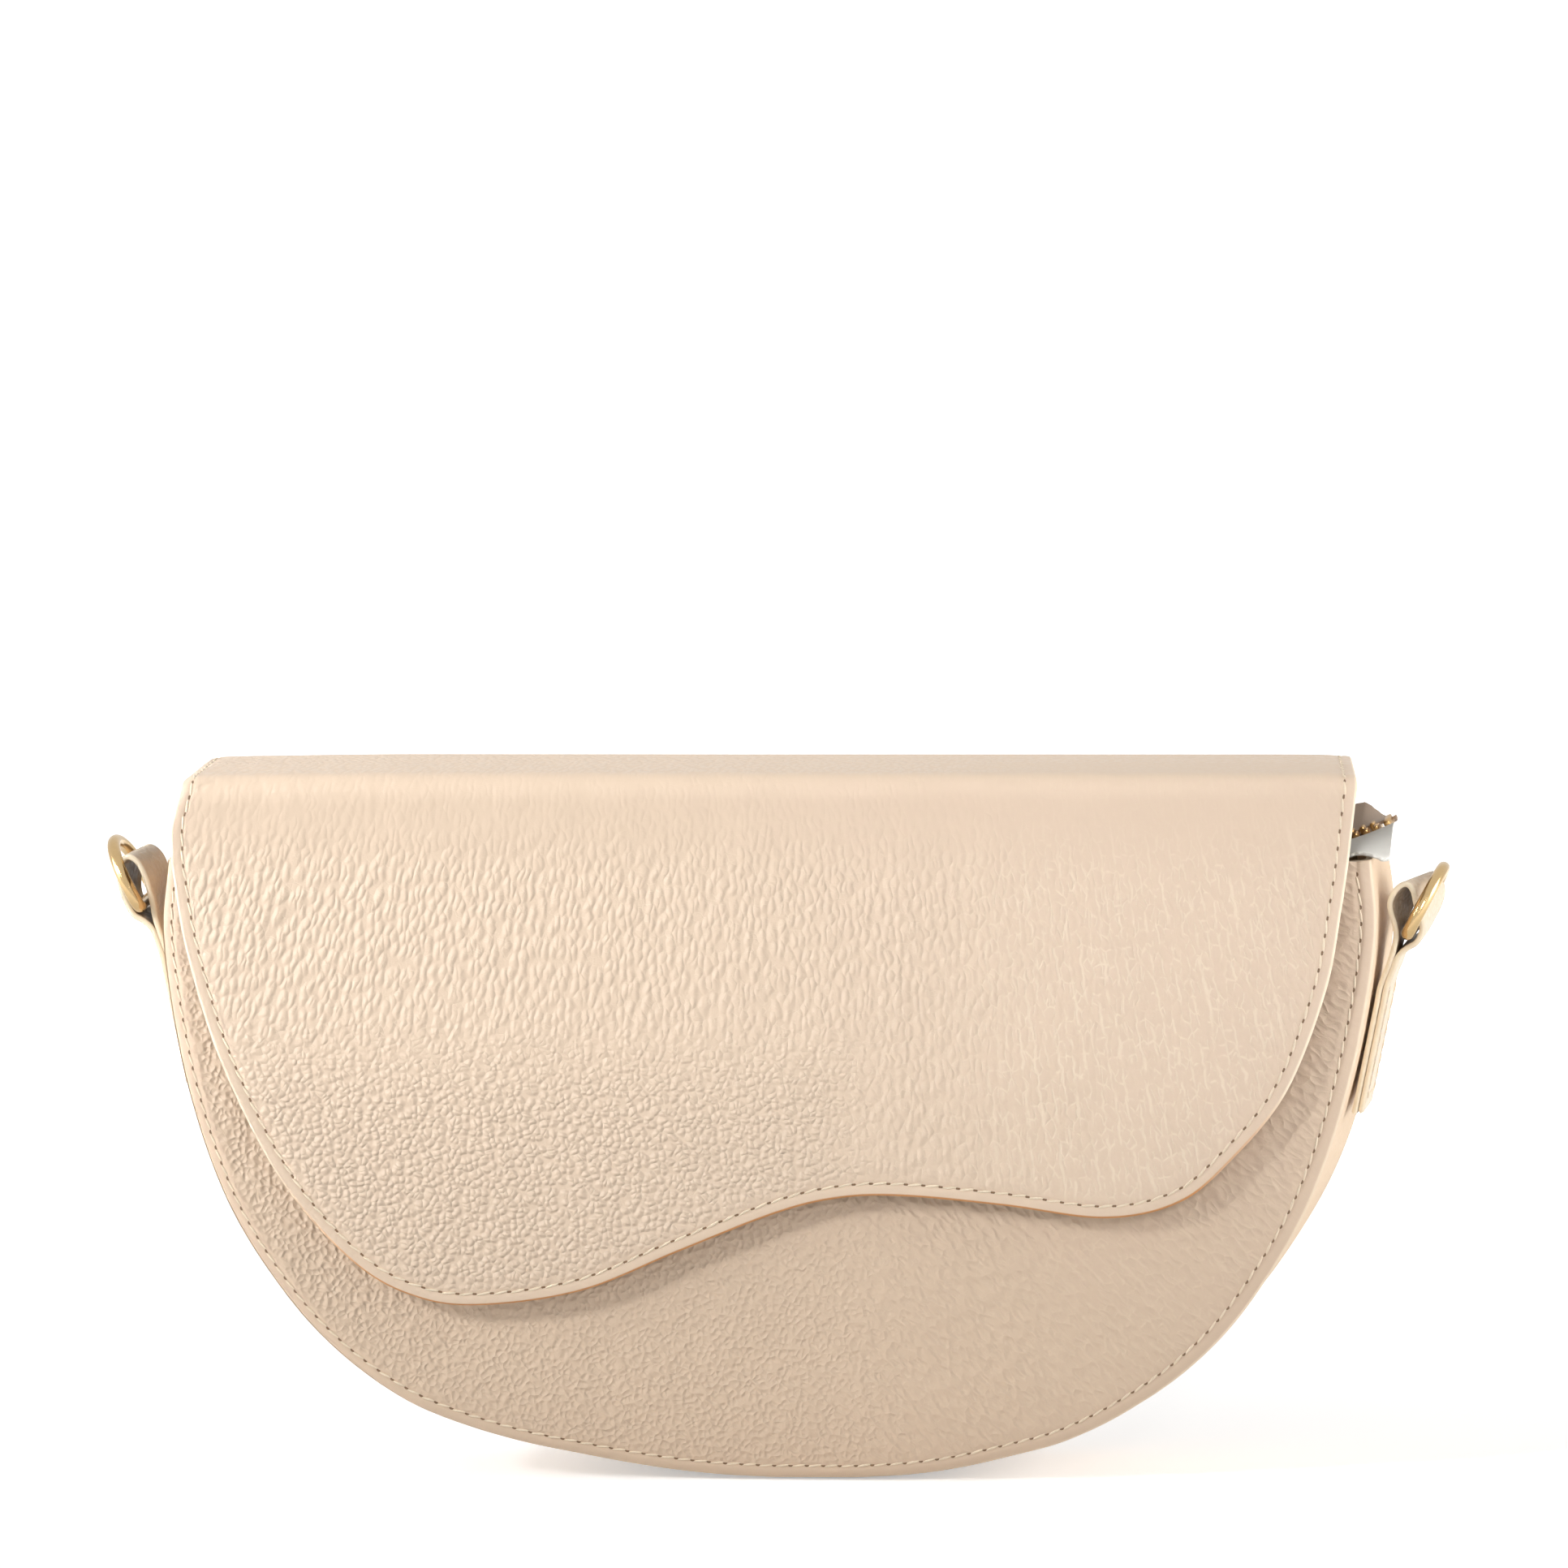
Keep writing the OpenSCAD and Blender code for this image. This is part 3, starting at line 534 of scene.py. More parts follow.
def panel_looks(x, s):
    """The panel's hide is drawn most at its right side."""
    return 0 * x, 0.2 + 0.6 * smooth(x, 0, 90)

def panel(name, top, back):
    way = Section(profile(0, top, 0, back)[::-1])
    if back:
        way.out *= -1
    edge = panel_edge(top)
    edge = even(np.stack([edge[:, 0], hide_s(way, edge[:, 1])], 1), 330)[::-1]
    def place(x, s, inset, depth):
        return spots(x, *way.at(s, panel_lift(x, inset) * (depth < 1) - depth))
    made = cut_leather(name, edge, 0, PANEL_T, place, looks=panel_looks, turn=HIDE_TURN)
    return made, way, edge, place

front_leather, front_section, front_edge, front_place = panel("front_leather", PANEL_H, False)
dress(front_leather, body_hide, "bag", "pebbled_leather", "front_panel")
back_leather, back_section, back_edge, back_place = panel("back_leather", BACK_H, True)
dress(back_leather, body_hide, "bag", "pebbled_leather", "back_panel")
print("Front panel:", len(front_leather.data.polygons), "faces")

# %% [markdown]
# ## The flap
# One sheet of leather starts on the back panel, rolls over the top and hangs in front. It
# bends at two folds when it opens, and a bending piece may cross one joint only, so the sheet
# is cut along the middle of the top, where it stays flat: the back half bends at the rear
# fold, the front half at the front one.

# %% Flap patterns
FLAP_SKIN_T, FLAP_SEAM, FLARE, RUN_IN = 1.4, 2.8, 2.2, 2.4
flap_outline = curve_through(np.array([
    (-0.98, 1), (-0.955, 0.865), (-0.897, 0.69), (-0.795, 0.497), (-0.675, 0.363), (-0.571, 0.307),
    (-0.463, 0.2955), (-0.3, 0.32), (-0.14, 0.384), (0.023, 0.447), (0.131, 0.472), (0.24, 0.4745),
    (0.4, 0.46), (0.563, 0.4405), (0.683, 0.465), (0.767, 0.53), (0.86, 0.64), (0.925, 0.8),
    (0.95, 0.93), (0.961, 1)]) * (HALF_W, PANEL_H), 10)
FLAP_LEFT, FLAP_RIGHT = flap_outline[0, 0], flap_outline[-1, 0]
over_roll = 9 * (front_way.path[:, 0] > FRONT_ROLL - 8)
roll_end = front_way.way[np.argmin(np.abs(front_way.path[:, 1] - ROLL_Z) + over_roll)]

def flap_lift(inset):
    """The hide swells inside the row of stitches, is pulled down at it and thins to the edge."""
    past_row = inset - FLAP_SEAM
    swell = 0.25 * (1 - np.exp(-np.maximum(0, past_row) / 3))
    thinning = 0.25 * np.clip(1 - inset / 2.6, 0, 1) ** 2
    pull = 0.22 * np.exp(-(past_row / 0.5) ** 2)
    return swell - thinning - pull

def droop(x, z):
    """The left end of the fold is soft: it sags and rounds off."""
    sag = 0.5 * smooth(-x, 85, 137) + 2.0 * rise(-x, 131, 136) ** 2.2
    return sag * smooth(z, 140, 160)

def flap_place(way, level, turn):
    """Where the flap's leather, or its lining a level below, lies along a section."""
    def place(x, s, inset, depth):
        lift = flap_lift(inset) * (depth < 0.6) * (level == 0)
        y, z = way.at(s, turn * (lift - depth - level))
        return spots(x, y, z - droop(x, z))
    return place

def right_side(way, s):
    """The right side flares up to the front fold, then runs in towards the back."""
    y, z = way.at(s, 0)
    return FLAP_RIGHT + FLARE * np.where(y > 0, 1, rise(z, 143, 160)) - 0.145 * np.maximum(0, y + 20)

def left_side(way, s):
    """The left side runs in on its way up to the fold."""
    y, z = way.at(s, 0)
    return FLAP_LEFT + RUN_IN * np.where(y > 0, 1, smooth(z, 151.5, 162.5))

head_s = np.linspace(0, roll_end, 22)[:-1]
above = np.linspace(hide_s(front_way, PANEL_H), roll_end, 9)[1:]
drop = np.stack([flap_outline[:, 0], hide_s(front_way, np.minimum(flap_outline[:, 1], PANEL_H))], 1)
drop = even(np.vstack([[FLAP_LEFT, roll_end], drop, np.stack([right_side(front_way, above), above], 1)]), 300)

def with_sides(drop, way):
    start = np.stack([left_side(way, head_s), head_s], 1)
    stop = np.stack([right_side(way, head_s), head_s], 1)[::-1]
    return np.vstack([start, drop, stop])

flap_edge = with_sides(drop, front_way)
print("Flap edge length, mm:", round(way_along(flap_edge)[-1]))

# %% Front half
def flap_looks(x, s):
    """The hide is drawn smooth over the fold, and its pebbles grow long below it and at the right."""
    under = s - roll_end
    calm = 0.9 * (1 - smooth(under, -4, 16))
    at_right = smooth(x, -5, 75) * (1 - 0.5 * smooth(under, 70, 110))
    return calm, np.maximum(0.5 * (1 - smooth(under, 30, 75)), at_right)

front_skin = flap_place(front_way, 0.0, 1)
flap_front = cut_leather("flap_front_leather", flap_edge, len(head_s), FLAP_SKIN_T, front_skin,
                         looks=flap_looks)
dress(flap_front, flap_hide, None, "pebbled_leather", "flap_front")
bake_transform(flap_front)

# %% Back half
CORNER_R = 9
lap_s = back_way.way[-1] - 2
left = FLAP_LEFT + RUN_IN
right = right_side(back_way, np.array([roll_end, lap_s]))
turn = np.linspace(0, math.pi / 2, 8)
corner = [[left, roll_end], [left, lap_s - CORNER_R]]
corner += [[left + CORNER_R - CORNER_R * math.cos(a), lap_s - CORNER_R + CORNER_R * math.sin(a)]
           for a in turn]
corner += [[right[1] - CORNER_R + CORNER_R * math.sin(a), lap_s - CORNER_R + CORNER_R * math.cos(a)]
           for a in turn]
strip_drop = even(np.vstack([corner, [[right[0], roll_end]]]), 260)
strip_edge = with_sides(strip_drop, back_way)
back_skin = flap_place(back_way, 0.0, -1)
flap_back = cut_leather("flap_back_leather", strip_edge, len(head_s), FLAP_SKIN_T, back_skin, rows=14,
                        looks=lambda x, s: (0 * x + 0.8, 0 * x))
dress(flap_back, flap_hide, None, "pebbled_leather", "flap_back_strip", "flap_top")
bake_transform(flap_back)

# %% Flap lining
LINING_T, LINING_LEVEL, LINING_INSET = 1.0, 1.45, 0.25
flap_line_front = cut_leather("flap_lining_front_half", inward(flap_edge, LINING_INSET), len(head_s),
                              LINING_T, flap_place(front_way, LINING_LEVEL, 1), rows=30)
dress(flap_line_front, suede, None, "suede", "flap_lining_front")
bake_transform(flap_line_front)
flap_line_back = cut_leather("flap_lining_back_half", inward(strip_edge, LINING_INSET), len(head_s),
                             LINING_T, flap_place(back_way, LINING_LEVEL, -1), rows=10)
dress(flap_line_back, suede, None, "suede", "flap_lining_back", "flap_lining_top")
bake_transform(flap_line_back)

# %% [markdown]
# ## Sewing
# A sewing machine leaves one thread from hole to hole, a little slanted, like a row of
# rice grains. One stitch is a sphere stretched to that shape, and one needle hole is a disc
# coloured dark as painted shade in the hole.
# Both are set along a path again and again into one mesh, so a row of a hundred stays light.

# %% Needle and thread
def stretched(size):
    """Scales the new primitive in edit mode and reads it as points and faces."""
    bpy.ops.transform.resize(value=size, center_override=(0, 0, 0))
    return read_mesh()

def read_mesh():
    bpy.ops.object.mode_set(mode="OBJECT")
    thing = bpy.context.object
    verts = np.array([v.co[:] for v in thing.data.vertices])
    faces = [list(f.vertices) for f in thing.data.polygons]
    bpy.data.objects.remove(thing)
    return verts, faces

def one_stitch(pitch, thick):
    clear_selection()
    bpy.ops.mesh.primitive_uv_sphere_add(segments=6, ring_count=6, radius=0.5)
    edit_all()
    bpy.ops.transform.rotate(value=math.pi / 2, orient_axis="Y", center_override=(0, 0, 0))
    return stretched((pitch * 0.84, thick, thick * 0.8))

# A flat disc that carries the needle hole's painted shade.
def one_hole(radius):
    clear_selection()
    bpy.ops.mesh.primitive_circle_add(vertices=8, radius=radius, fill_type="NGON")
    edit_all()
    return stretched((1.35, 0.95, 1))

def set_copies(name, shapes, places, smooth_faces=True):
    """shapes are (verts, faces, finish); places are, for each shape, (points, along, across, out)."""
    verts, faces, finish = [], [], []
    for (base, sides, kind), (points, along, across, out) in zip(shapes, places):
        for p, a, c, o in zip(points, along, across, out):
            start = sum(map(len, verts))
            verts.append(p + base @ np.stack([a, c, o]))
            faces += [[start + k for k in side] for side in sides]
            finish += [kind] * len(sides)
    mesh = bpy.data.meshes.new(name)
    mesh.from_pydata((np.vstack(verts) * MM).tolist(), [], faces)
    mesh.polygons.foreach_set("use_smooth", [smooth_faces] * len(faces))
    piece = bpy.data.objects.new(name, mesh)
    bpy.context.collection.objects.link(piece)
    for material in (cream_thread, hole_shade):
        mesh.materials.append(material)
    mesh.polygons.foreach_set("material_index", finish)
    return piece

def sew(name, path, out, pitch=4.0, thick=0.62, slant=9, lift=0.12):
    """Stitches along a path of points in mm; out is the way that the leather faces there."""
    way = way_along(path)
    count = int(round(way[-1] / pitch))
    def at(share, values):
        return np.stack([np.interp(share * way[-1], way, values[:, k]) for k in range(3)], 1)
    middle, holes = (np.arange(count) + 0.5) / count, np.arange(count + 1) / count
    tangent = np.gradient(path, axis=0)
    places = []
    for share, up, turn in ((middle, lift, slant), (holes, 0.06, 0)):
        normal, ahead = unit(at(share, out)), unit(at(share, tangent))
        sideways = unit(np.cross(normal, ahead))
        angle = math.radians(turn)
        a = ahead * math.cos(angle) + sideways * math.sin(angle)
        places.append((at(share, path) + normal * up, a, unit(np.cross(normal, a)), normal))
    print(name, "has", count, "stitches")
    return set_copies(name, (one_stitch(way[-1] / count, thick) + (0,), one_hole(0.4) + (1,)), places)

def sew_edge(name, edge, inset, place, keep=slice(None), flip=1, **kind):
    """Stitches on a skin along its edge; the skin's facing is found by small steps on the hide."""
    inset = np.broadcast_to(inset, len(edge))
    row = np.stack([inward(edge, d)[k] for k, d in enumerate(inset)])[keep]
    x, s = row.T
    def on_skin(x, s):
        return place(x, s, inset[keep], np.zeros_like(x))
    here, step = on_skin(x, s), 0.4
    out = unit(np.cross(on_skin(x, s + step) - here, on_skin(x + step, s) - here))
    return sew(name, here, out * flip, **kind)

# %% Rows round the panels and the flap
body_thread = dict(pitch=3.8, thick=0.6)
front_row = sew_edge("front_stitches", front_edge, stitch_inset(front_edge[:, 0]), front_place,
                     slice(2, -2), **body_thread)
dress(front_row, None, "bag", "pebbled_leather")
back_row = sew_edge("back_stitches", back_edge, stitch_inset(-back_edge[:, 0]), back_place,
                    slice(16, -16), -1, **body_thread)
dress(back_row, None, "bag", "pebbled_leather")
flap_row = sew_edge("flap_stitches", flap_edge, FLAP_SEAM, front_skin)
dress(flap_row, None, None, "pebbled_leather")
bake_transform(flap_row)
lap_row = sew_edge("flap_back_stitches", strip_edge, FLAP_SEAM, back_skin, flip=-1)
dress(lap_row, None, None, "pebbled_leather")
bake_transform(lap_row)

# %% [markdown]
# ## The gusset
# The gusset is the long band that joins the two panels. Its edges turn in behind each panel,
# where the seam holds them. A band like this could be extruded along the edge, but then its
# depth would not follow the bag's bulge, so its section is laid at each point of the edge.

# %% Gusset and the lining's band
def loop_grid(name, place, flat, marks={}):
    """A closed band: each row of place is a loop round the section, and the ends are closed."""
    def shut(a):
        return np.concatenate([a, a[:, :1]], axis=1)
    flat = np.concatenate([flat, flat[:, -1:] * 2 - flat[:, -2:-1]], axis=1)
    return sewn(name, [laid_grid(name, shut(place), flat, {k: shut(v) for k, v in marks.items()})])

def band_section(inset, thick, depth, turn, sag):
    """Points (inset, share of the half depth, mm) round the section of a band."""
    r = 1.2
    arc = np.radians(np.linspace(0, 90, 6))
    t = np.linspace(0, 1, 18)
    def skin(inset, depth, turned):
        corner = [(inset + r - r * math.sin(a), depth + r - r * math.cos(a)) for a in arc]
        front = np.array([(i, depth) for i in turned if turn] + corner)
        middle = np.stack([inset + sag * np.sin(np.pi * t), -1 + 2 * t, (1 - 2 * t) * front[-1, 1]], 1)[1:-1]
        first = np.stack([front[:, 0], np.full(len(front), -1.0), front[:, 1]], 1)
        return np.vstack([first, middle, first[::-1] * (1, -1, -1)])
    outer = skin(inset, depth, np.linspace(turn, inset + r + 0.5, 5))
    inner = skin(inset + thick, depth + thick, np.linspace(turn, inset + thick + r + 0.5, 5))
    return np.vstack([outer, inner[::-1]])

def band(name, top, inset, thick, depth, turn, sag, count=300):
    edge = even(panel_edge(top), count)[::-1]
    section = band_section(inset, thick, depth, turn, sag)
    rows = np.stack([inward(edge, -i) for i in section[:, 0]], 1)
    x, z = rows[..., 0], np.maximum(rows[..., 1], 0.05)
    y = MID_Y + half_depth(z) * section[:, 1] + section[:, 2]
    flat = np.stack(np.meshgrid(way_along(edge), way_along(section * (1, 26, 1)), indexing="ij"), -1)
    return loop_grid(name, spots(x, y, z), flat, {"rim": 0 * x, "paint": 0 * x})

gusset_leather = band("gusset_leather", 142.9, 0.0, 1.6, 2.1, 7, 0.5)
dress(gusset_leather, gusset_hide, "bag", "pebbled_leather", "gusset")
lining_band = band("lining_band", 138, 1.7, 0.8, 4.7, 0, 0.6, 200)
dress(lining_band, lining_twill, "bag", "lining_cloth", "lining_gusset")

# %% [markdown]
# ## Lining and pocket
# The lining is thin twill that hangs a little loose behind the stiffening boards, so it has
# soft shallow folds. The pocket is one more piece of the same cloth, sewn at its foot and
# sides and open at its top.

# %% Lining cloth
def folds(x, s):
    return 0.35 * np.sin(x * 0.16 + 1.2 * np.sin(s * 0.05)) + 0.25 * np.sin(x * 0.071 - s * 0.09)

def lining_wall(name, section):
    edge = inward(panel_edge(138)[::-1], -1.7)
    edge = even(np.stack([edge[:, 0], hide_s(section, edge[:, 1])], 1), 200)
    def place(x, s, inset, depth):
        return spots(x, *section.at(s, -3.8 - depth - (0.6 + folds(x, s)) * np.clip(inset / 12, 0, 1)))
    return cut_leather(name, edge, 0, 0.8, place, rows=30)

for name, section in (("lining_front", front_section), ("lining_back", back_section)):
    dress(lining_wall(name + "_cloth", section), lining_twill, "bag", "lining_cloth", name)

# %% Slip pocket
def slip_pocket():
    across_x = np.linspace(-55, 55, 60)
    z = np.r_[45, 45.2, np.linspace(46, 103, 40), 103.4, 104.4, 105][:, None]
    bulge = 5.2 * (1 - np.abs(across_x / 55) ** 3)
    grow = np.clip((z - 45) / 60, 0, 1) ** 0.8
    hem = 0.25 * ((z > 98) & (z < 105))
    thin = np.ones_like(z)
    thin[[0, -1]] = 0.1
    sides = []
    for face in (0.4, -0.4):
        depth = 5.2 + grow * bulge + (face + np.sign(face) * hem) * thin
        sides.append(spots(across_x, MID_Y + half_depth(z) - depth, z))
    place = np.concatenate([sides[0], sides[1][:, ::-1]], 1)
    return loop_grid("pocket_cloth", place, place[..., [0, 2]])

dress(slip_pocket(), lining_twill, "bag", "lining_cloth", "inner_pocket")

# %% [markdown]
# ## The zip
# A zip is two woven tapes with a row of brass teeth clamped on each. The tapes lie level in
# the mouth, but their free ends rise at the right, where the front one curls down to the
# gusset and the rear one stands up. Each tape is a thin loop of cloth laid along that line.

# %% Zip tapes
ZIP_Z, TILT, TAIL_X, TAIL_LONG, TAPE_IN, TAPE_W = 144.2, math.radians(10), 123.2, 19.8, 2.8, 12.5

def tail_rise(x, power):
    return 6 * (np.maximum(0, x - TAIL_X) / TAIL_LONG) ** power

def from_zip(x, y, z):
    """Points from the zip's own tilted frame."""
    level, up = math.cos(TILT), math.sin(TILT)
    return spots(x, MID_Y + y * level - z * up, ZIP_Z + y * up + z * level)

def zip_tape(name, side):
    x = np.r_[-130.2, np.linspace(-130, 142.6, 860), 142.9, 143][:, None]
    share = np.r_[0, 0.01, np.linspace(0.05, 0.9, 12), 0.955, 0.985, 1]
    height = np.r_[0, 0.34, np.full(12, 0.4), 0.5, 0.42, 0] * np.ones_like(x)
    height[[0, -1]] *= 0.1
    wide = TAPE_W - 0.22 * np.abs(np.sin(np.pi * x / 1.7)) - 1.6 * rise(x, 141, 143) ** 2
    if side > 0:
        wide -= 9.0 * rise(x, 133, 143) ** 1.6
    v = TAPE_IN + wide * share
    far = np.clip((v - TAPE_IN) / TAPE_W, 0, 1)
    if side < 0:
        sag = -5.6 * rise(x, 135, 143) ** 1.6 * far ** 1.3 - 0.25 * far
    else:
        sag = 3.0 * smooth(x, 112, 131) * far ** 1.3 - 9.0 * rise(x, 134.5, 143) ** 1.3 * far
    sag = sag + 0.16 * np.sin(x * 0.21 + side) * far
    top, low = (from_zip(x, side * v, tail_rise(x, 1.6) + sag + h) for h in (height, -height))
    def round_tape(over, under):
        return np.concatenate([over, under[:, 1:-1][:, ::-1]], 1)
    x = np.broadcast_to(x, v.shape)
    return loop_grid(name, round_tape(top, low), round_tape(np.stack([x, v], -1), np.stack([x, -v], -1)))

# The rear tape takes the darker twill, shade painted onto the same cloth as the front tape.
for side, word, twill in ((-1, "front", tape_twill), (1, "back", shaded_tape_twill)):
    dress(zip_tape("zip_tape_" + word + "_cloth", side), twill, "bag", "zip_cloth", "zip_tape_" + word)

# %% [markdown]
# ## Teeth, stops, slider and pull
# Each tooth is a small brass block with a rounded head that grips the tape's bead. The two rows
# are set half a pitch apart and stop just short of the slider's wedge, so that it can run
# between them. One tooth is modelled from a cube and copied along the zip. The other small
# metal is worn rather than new, so it keeps the CAD's forms and gets its edges broken.

# %% Teeth
TOOTH, PITCH, ROW_Y, FIRST_TOOTH, LAST_TOOTH = (1.25, 2.3, 2.4), 2.4, 1.74, -120.2, 139.2

def one_tooth():
    clear_selection()
    bpy.ops.mesh.primitive_cube_add(size=1)
    edit_all()
    bpy.ops.transform.resize(value=TOOTH, center_override=(0, 0, 0))
    bpy.ops.mesh.bevel(offset=0.4, segments=2, affect="EDGES")
    return read_mesh()

def row_of_teeth(name, side):
    x = FIRST_TOOTH + (PITCH / 2 if side > 0 else 0) + PITCH * np.arange(109)
    x = x[x < LAST_TOOTH]
    slope = np.arctan(tail_rise(x, 0.6) * 1.6 / TAIL_LONG)
    points = from_zip(x, np.full_like(x, side * ROW_Y), tail_rise(x, 1.6))
    along = spots(np.cos(slope), 0, np.sin(slope))
    y_axis = np.tile([0, math.cos(TILT), math.sin(TILT)], (len(x), 1))
    piece = set_copies(name, [one_tooth() + (0,)], [(points, along, y_axis, np.cross(along, y_axis))], False)
    print(name, "has", len(x), "teeth")
    return piece

for side, word in ((-1, "front"), (1, "back")):
    teeth = "zip_teeth_" + word
    dress(row_of_teeth(teeth + "_row", side), old_gold, "bag", "gold_metal", teeth)

# %% Small metal with broken edges
def softened(node, width, body, finish, slot="gold_metal"):
    """A copy of the CAD node with its edges bevelled by that width."""
    clear_selection()
    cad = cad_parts[node]
    piece = bpy.data.objects.new(node + "_polished", cad.data.copy())
    bpy.context.collection.objects.link(piece)
    piece.matrix_world = cad.matrix_world.copy()
    piece.select_set(True)
    bpy.context.view_layer.objects.active = piece
    bpy.ops.object.transform_apply(location=True, rotation=True, scale=True)
    edit_all()
    bpy.ops.mesh.remove_doubles(threshold=0.002 * MM)
    bpy.ops.mesh.dissolve_limited(angle_limit=math.radians(4))
    bpy.ops.object.mode_set(mode="OBJECT")
    edge = piece.modifiers.new("broken_edge", "BEVEL")
    edge.width, edge.segments, edge.limit_method = width * MM, 2, "ANGLE"
    edge.angle_limit = math.radians(35)
    edge.use_clamp_overlap = True
    bpy.ops.object.modifier_apply(modifier=edge.name)
    bpy.ops.object.shade_smooth_by_angle(angle=math.radians(34))
    return dress(piece, finish, body, slot, node)

small_metal = [("snap_magnet", 0.25, "bag"), ("snap_washer", 0.15, "bag"), ("snap_cap", 0.2, "flap_drop"),
               ("zip_top_stops", 0.25, "bag"), ("zip_bottom_stop", 0.3, "bag"),
               ("zip_slider", 0.22, "slider"), ("zip_pull", 0.2, "pull")]
for node, width, body in small_metal:
    made = softened(node, width, body, old_gold if node.startswith("zip") else gold)
    print(made.name, len(made.data.polygons), "faces")

# %% [markdown]
# ## Rings and their tabs
# A D-ring is one rod bent to shape, so it is a round section carried along the D. Its tab is
# one strip of leather that goes up the gusset, round the bar with some slack, and down again
# over itself. The strip's cut edges face the viewer, so they get their own rounded rim.

# %% Rings
RING_TILT, RING_R, ARM, CORNER, WIRE_R = math.radians(62), 11.5, 4.0, 1.9, 1.5
# side: the bar's x and z, the foot's x and z of the tab's inner face, and that face's slope
TABS = {1: (146.402, 125.0, 132.638, 83.0, 0.21939), -1: (146.852, 131.0, 134.365, 89.0, 0.18896)}

def d_path():
    turn = np.linspace(0, math.pi / 2, 9)[:-1]
    right = [(CORNER - CORNER * math.cos(a), RING_R - CORNER + CORNER * math.sin(a)) for a in turn]
    crown = [(ARM + RING_R * math.sin(a), RING_R * math.cos(a)) for a in np.linspace(0, math.pi, 60)]
    left = [(u, -v) for u, v in right][::-1]
    bar = [(0, v) for v in np.linspace(-RING_R + CORNER, RING_R - CORNER, 14)[1:-1]]
    return np.array(right + crown + left + bar)

def d_ring(name, side, body, node):
    bar_x, bar_z = TABS[side][:2]
    path = d_path()
    ahead = unit(np.roll(path, -1, 0) - np.roll(path, 1, 0))
    a = np.linspace(0, 2 * math.pi, 24, endpoint=False)
    u = path[:, 0, None] + WIRE_R * np.cos(a) * ahead[:, 1, None]
    v = path[:, 1, None] - WIRE_R * np.cos(a) * ahead[:, 0, None]
    w = WIRE_R * np.sin(a)
    x = bar_x + u * math.cos(RING_TILT) - w * math.sin(RING_TILT)
    z = bar_z + u * math.sin(RING_TILT) + w * math.cos(RING_TILT)
    place = spots(side * x, MID_Y + v, z)
    place = np.concatenate([place, place[:1]], 0)
    flat = np.stack(np.meshgrid(np.arange(24) * 0.4, np.arange(len(place)) * 0.9), -1)
    return dress(loop_grid(name, place, flat), gold, body, "gold_metal", node)

SIDES = ((1, "right"), (-1, "left"))
for side, word in SIDES:
    d_ring(word + "_ring_rod", side, word + "_ring", "d_ring_" + word)

# %% Ring tabs
TAB_HALF, TAB_SEAM, TAB_SKIN, TAB_OUTER = 9.0, 6.4, 0.66, 2.12
LOOP = [(-4.2, -6.5), (-3.0, -2), (-2.5, 2.5), (-2.1, 6.3), (-0.9, 9.3), (0.8, 11.0), (2.4, 11.1), (3.6, 9.4),
        (4.0, 6.3), (3.9, 3), (3.1, 0.0), (1.7, -2.3), (-0.6, -3.7), (-2.5, -5.6), (-3.6, -8.4)]

def tab_x(side, z):
    foot_x, foot_z, slope = TABS[side][2:]
    return foot_x + (z - foot_z) * slope

def tab_line(side):
    """The strip's way: up the gusset, round the bar and down over itself."""
    bar_x, bar_z, _, foot_z, _ = TABS[side]
    up = [(tab_x(side, z) + 0.72, z) for z in np.linspace(foot_z, bar_z - 12, 8)]
    loop = [(bar_x + u, bar_z + w) for u, w in LOOP]
    down = [(tab_x(side, z) + TAB_OUTER, z) for z in np.linspace(bar_z - 12, foot_z + 0.3, 8)]
    return even(curve_through(up + loop + down, 10), 220)

TAB_ROUND = 0.45

def ring_tab(name, side, node):
    line = tab_line(side)
    step = unit(np.gradient(line, axis=0))
    rim = np.array([0, 0.04, 0.18, TAB_ROUND])
    across = np.r_[rim - TAB_HALF, np.linspace(-TAB_HALF + 1.2, TAB_HALF - 1.2, 14), TAB_HALF - rim[::-1]]
    rounded = np.clip((np.abs(across) - (TAB_HALF - TAB_ROUND)) / TAB_ROUND, 0, 1)
    thick = TAB_SKIN * np.sqrt(np.clip(1 - rounded ** 2, 0, 1))
    pull = 0.12 * np.exp(-((np.abs(across) - TAB_SEAM) / 0.4) ** 2)
    ends = np.ones((len(line), 1))
    ends[[0, -1]] = 0.1
    bar_z = TABS[side][1]
    lean = (0.26 if side > 0 else -0.12) * smooth(line[:, 1, None], bar_z - 1, bar_z + 8)
    sides = []
    for lift in ((thick - pull) * ends, -thick * ends):
        x = line[:, 0, None] - step[:, 1, None] * lift + lean * across
        z = line[:, 1, None] + step[:, 0, None] * lift
        sides.append(spots(side * x, MID_Y + across, z))
    place = np.concatenate([sides[0], sides[1][:, 1:-1][:, ::-1]], 1)
    girth = np.r_[across, across[1:-1][::-1] + 40]
    way = np.arange(len(line)) * np.linalg.norm(line[1] - line[0])
    flat = np.stack(np.meshgrid(girth, way), -1)
    rim = (np.abs(np.abs(np.r_[across, across[1:-1][::-1]]) - TAB_HALF) < 0.3).astype(float)
    flesh = np.r_[np.zeros(len(across)), np.ones(len(across) - 2)] * (1 - rim)
    marks = {mark: np.tile(values, (len(line), 1))
             for mark, values in (("rim", rim), ("paint", 0 * rim), ("flesh", flesh))}
    return dress(loop_grid(name, place, flat, marks), tab_hide, "bag", "tab_leather", node)

for side, word in SIDES:
    ring_tab(word + "_tab_leather", side, "ring_tab_" + word)

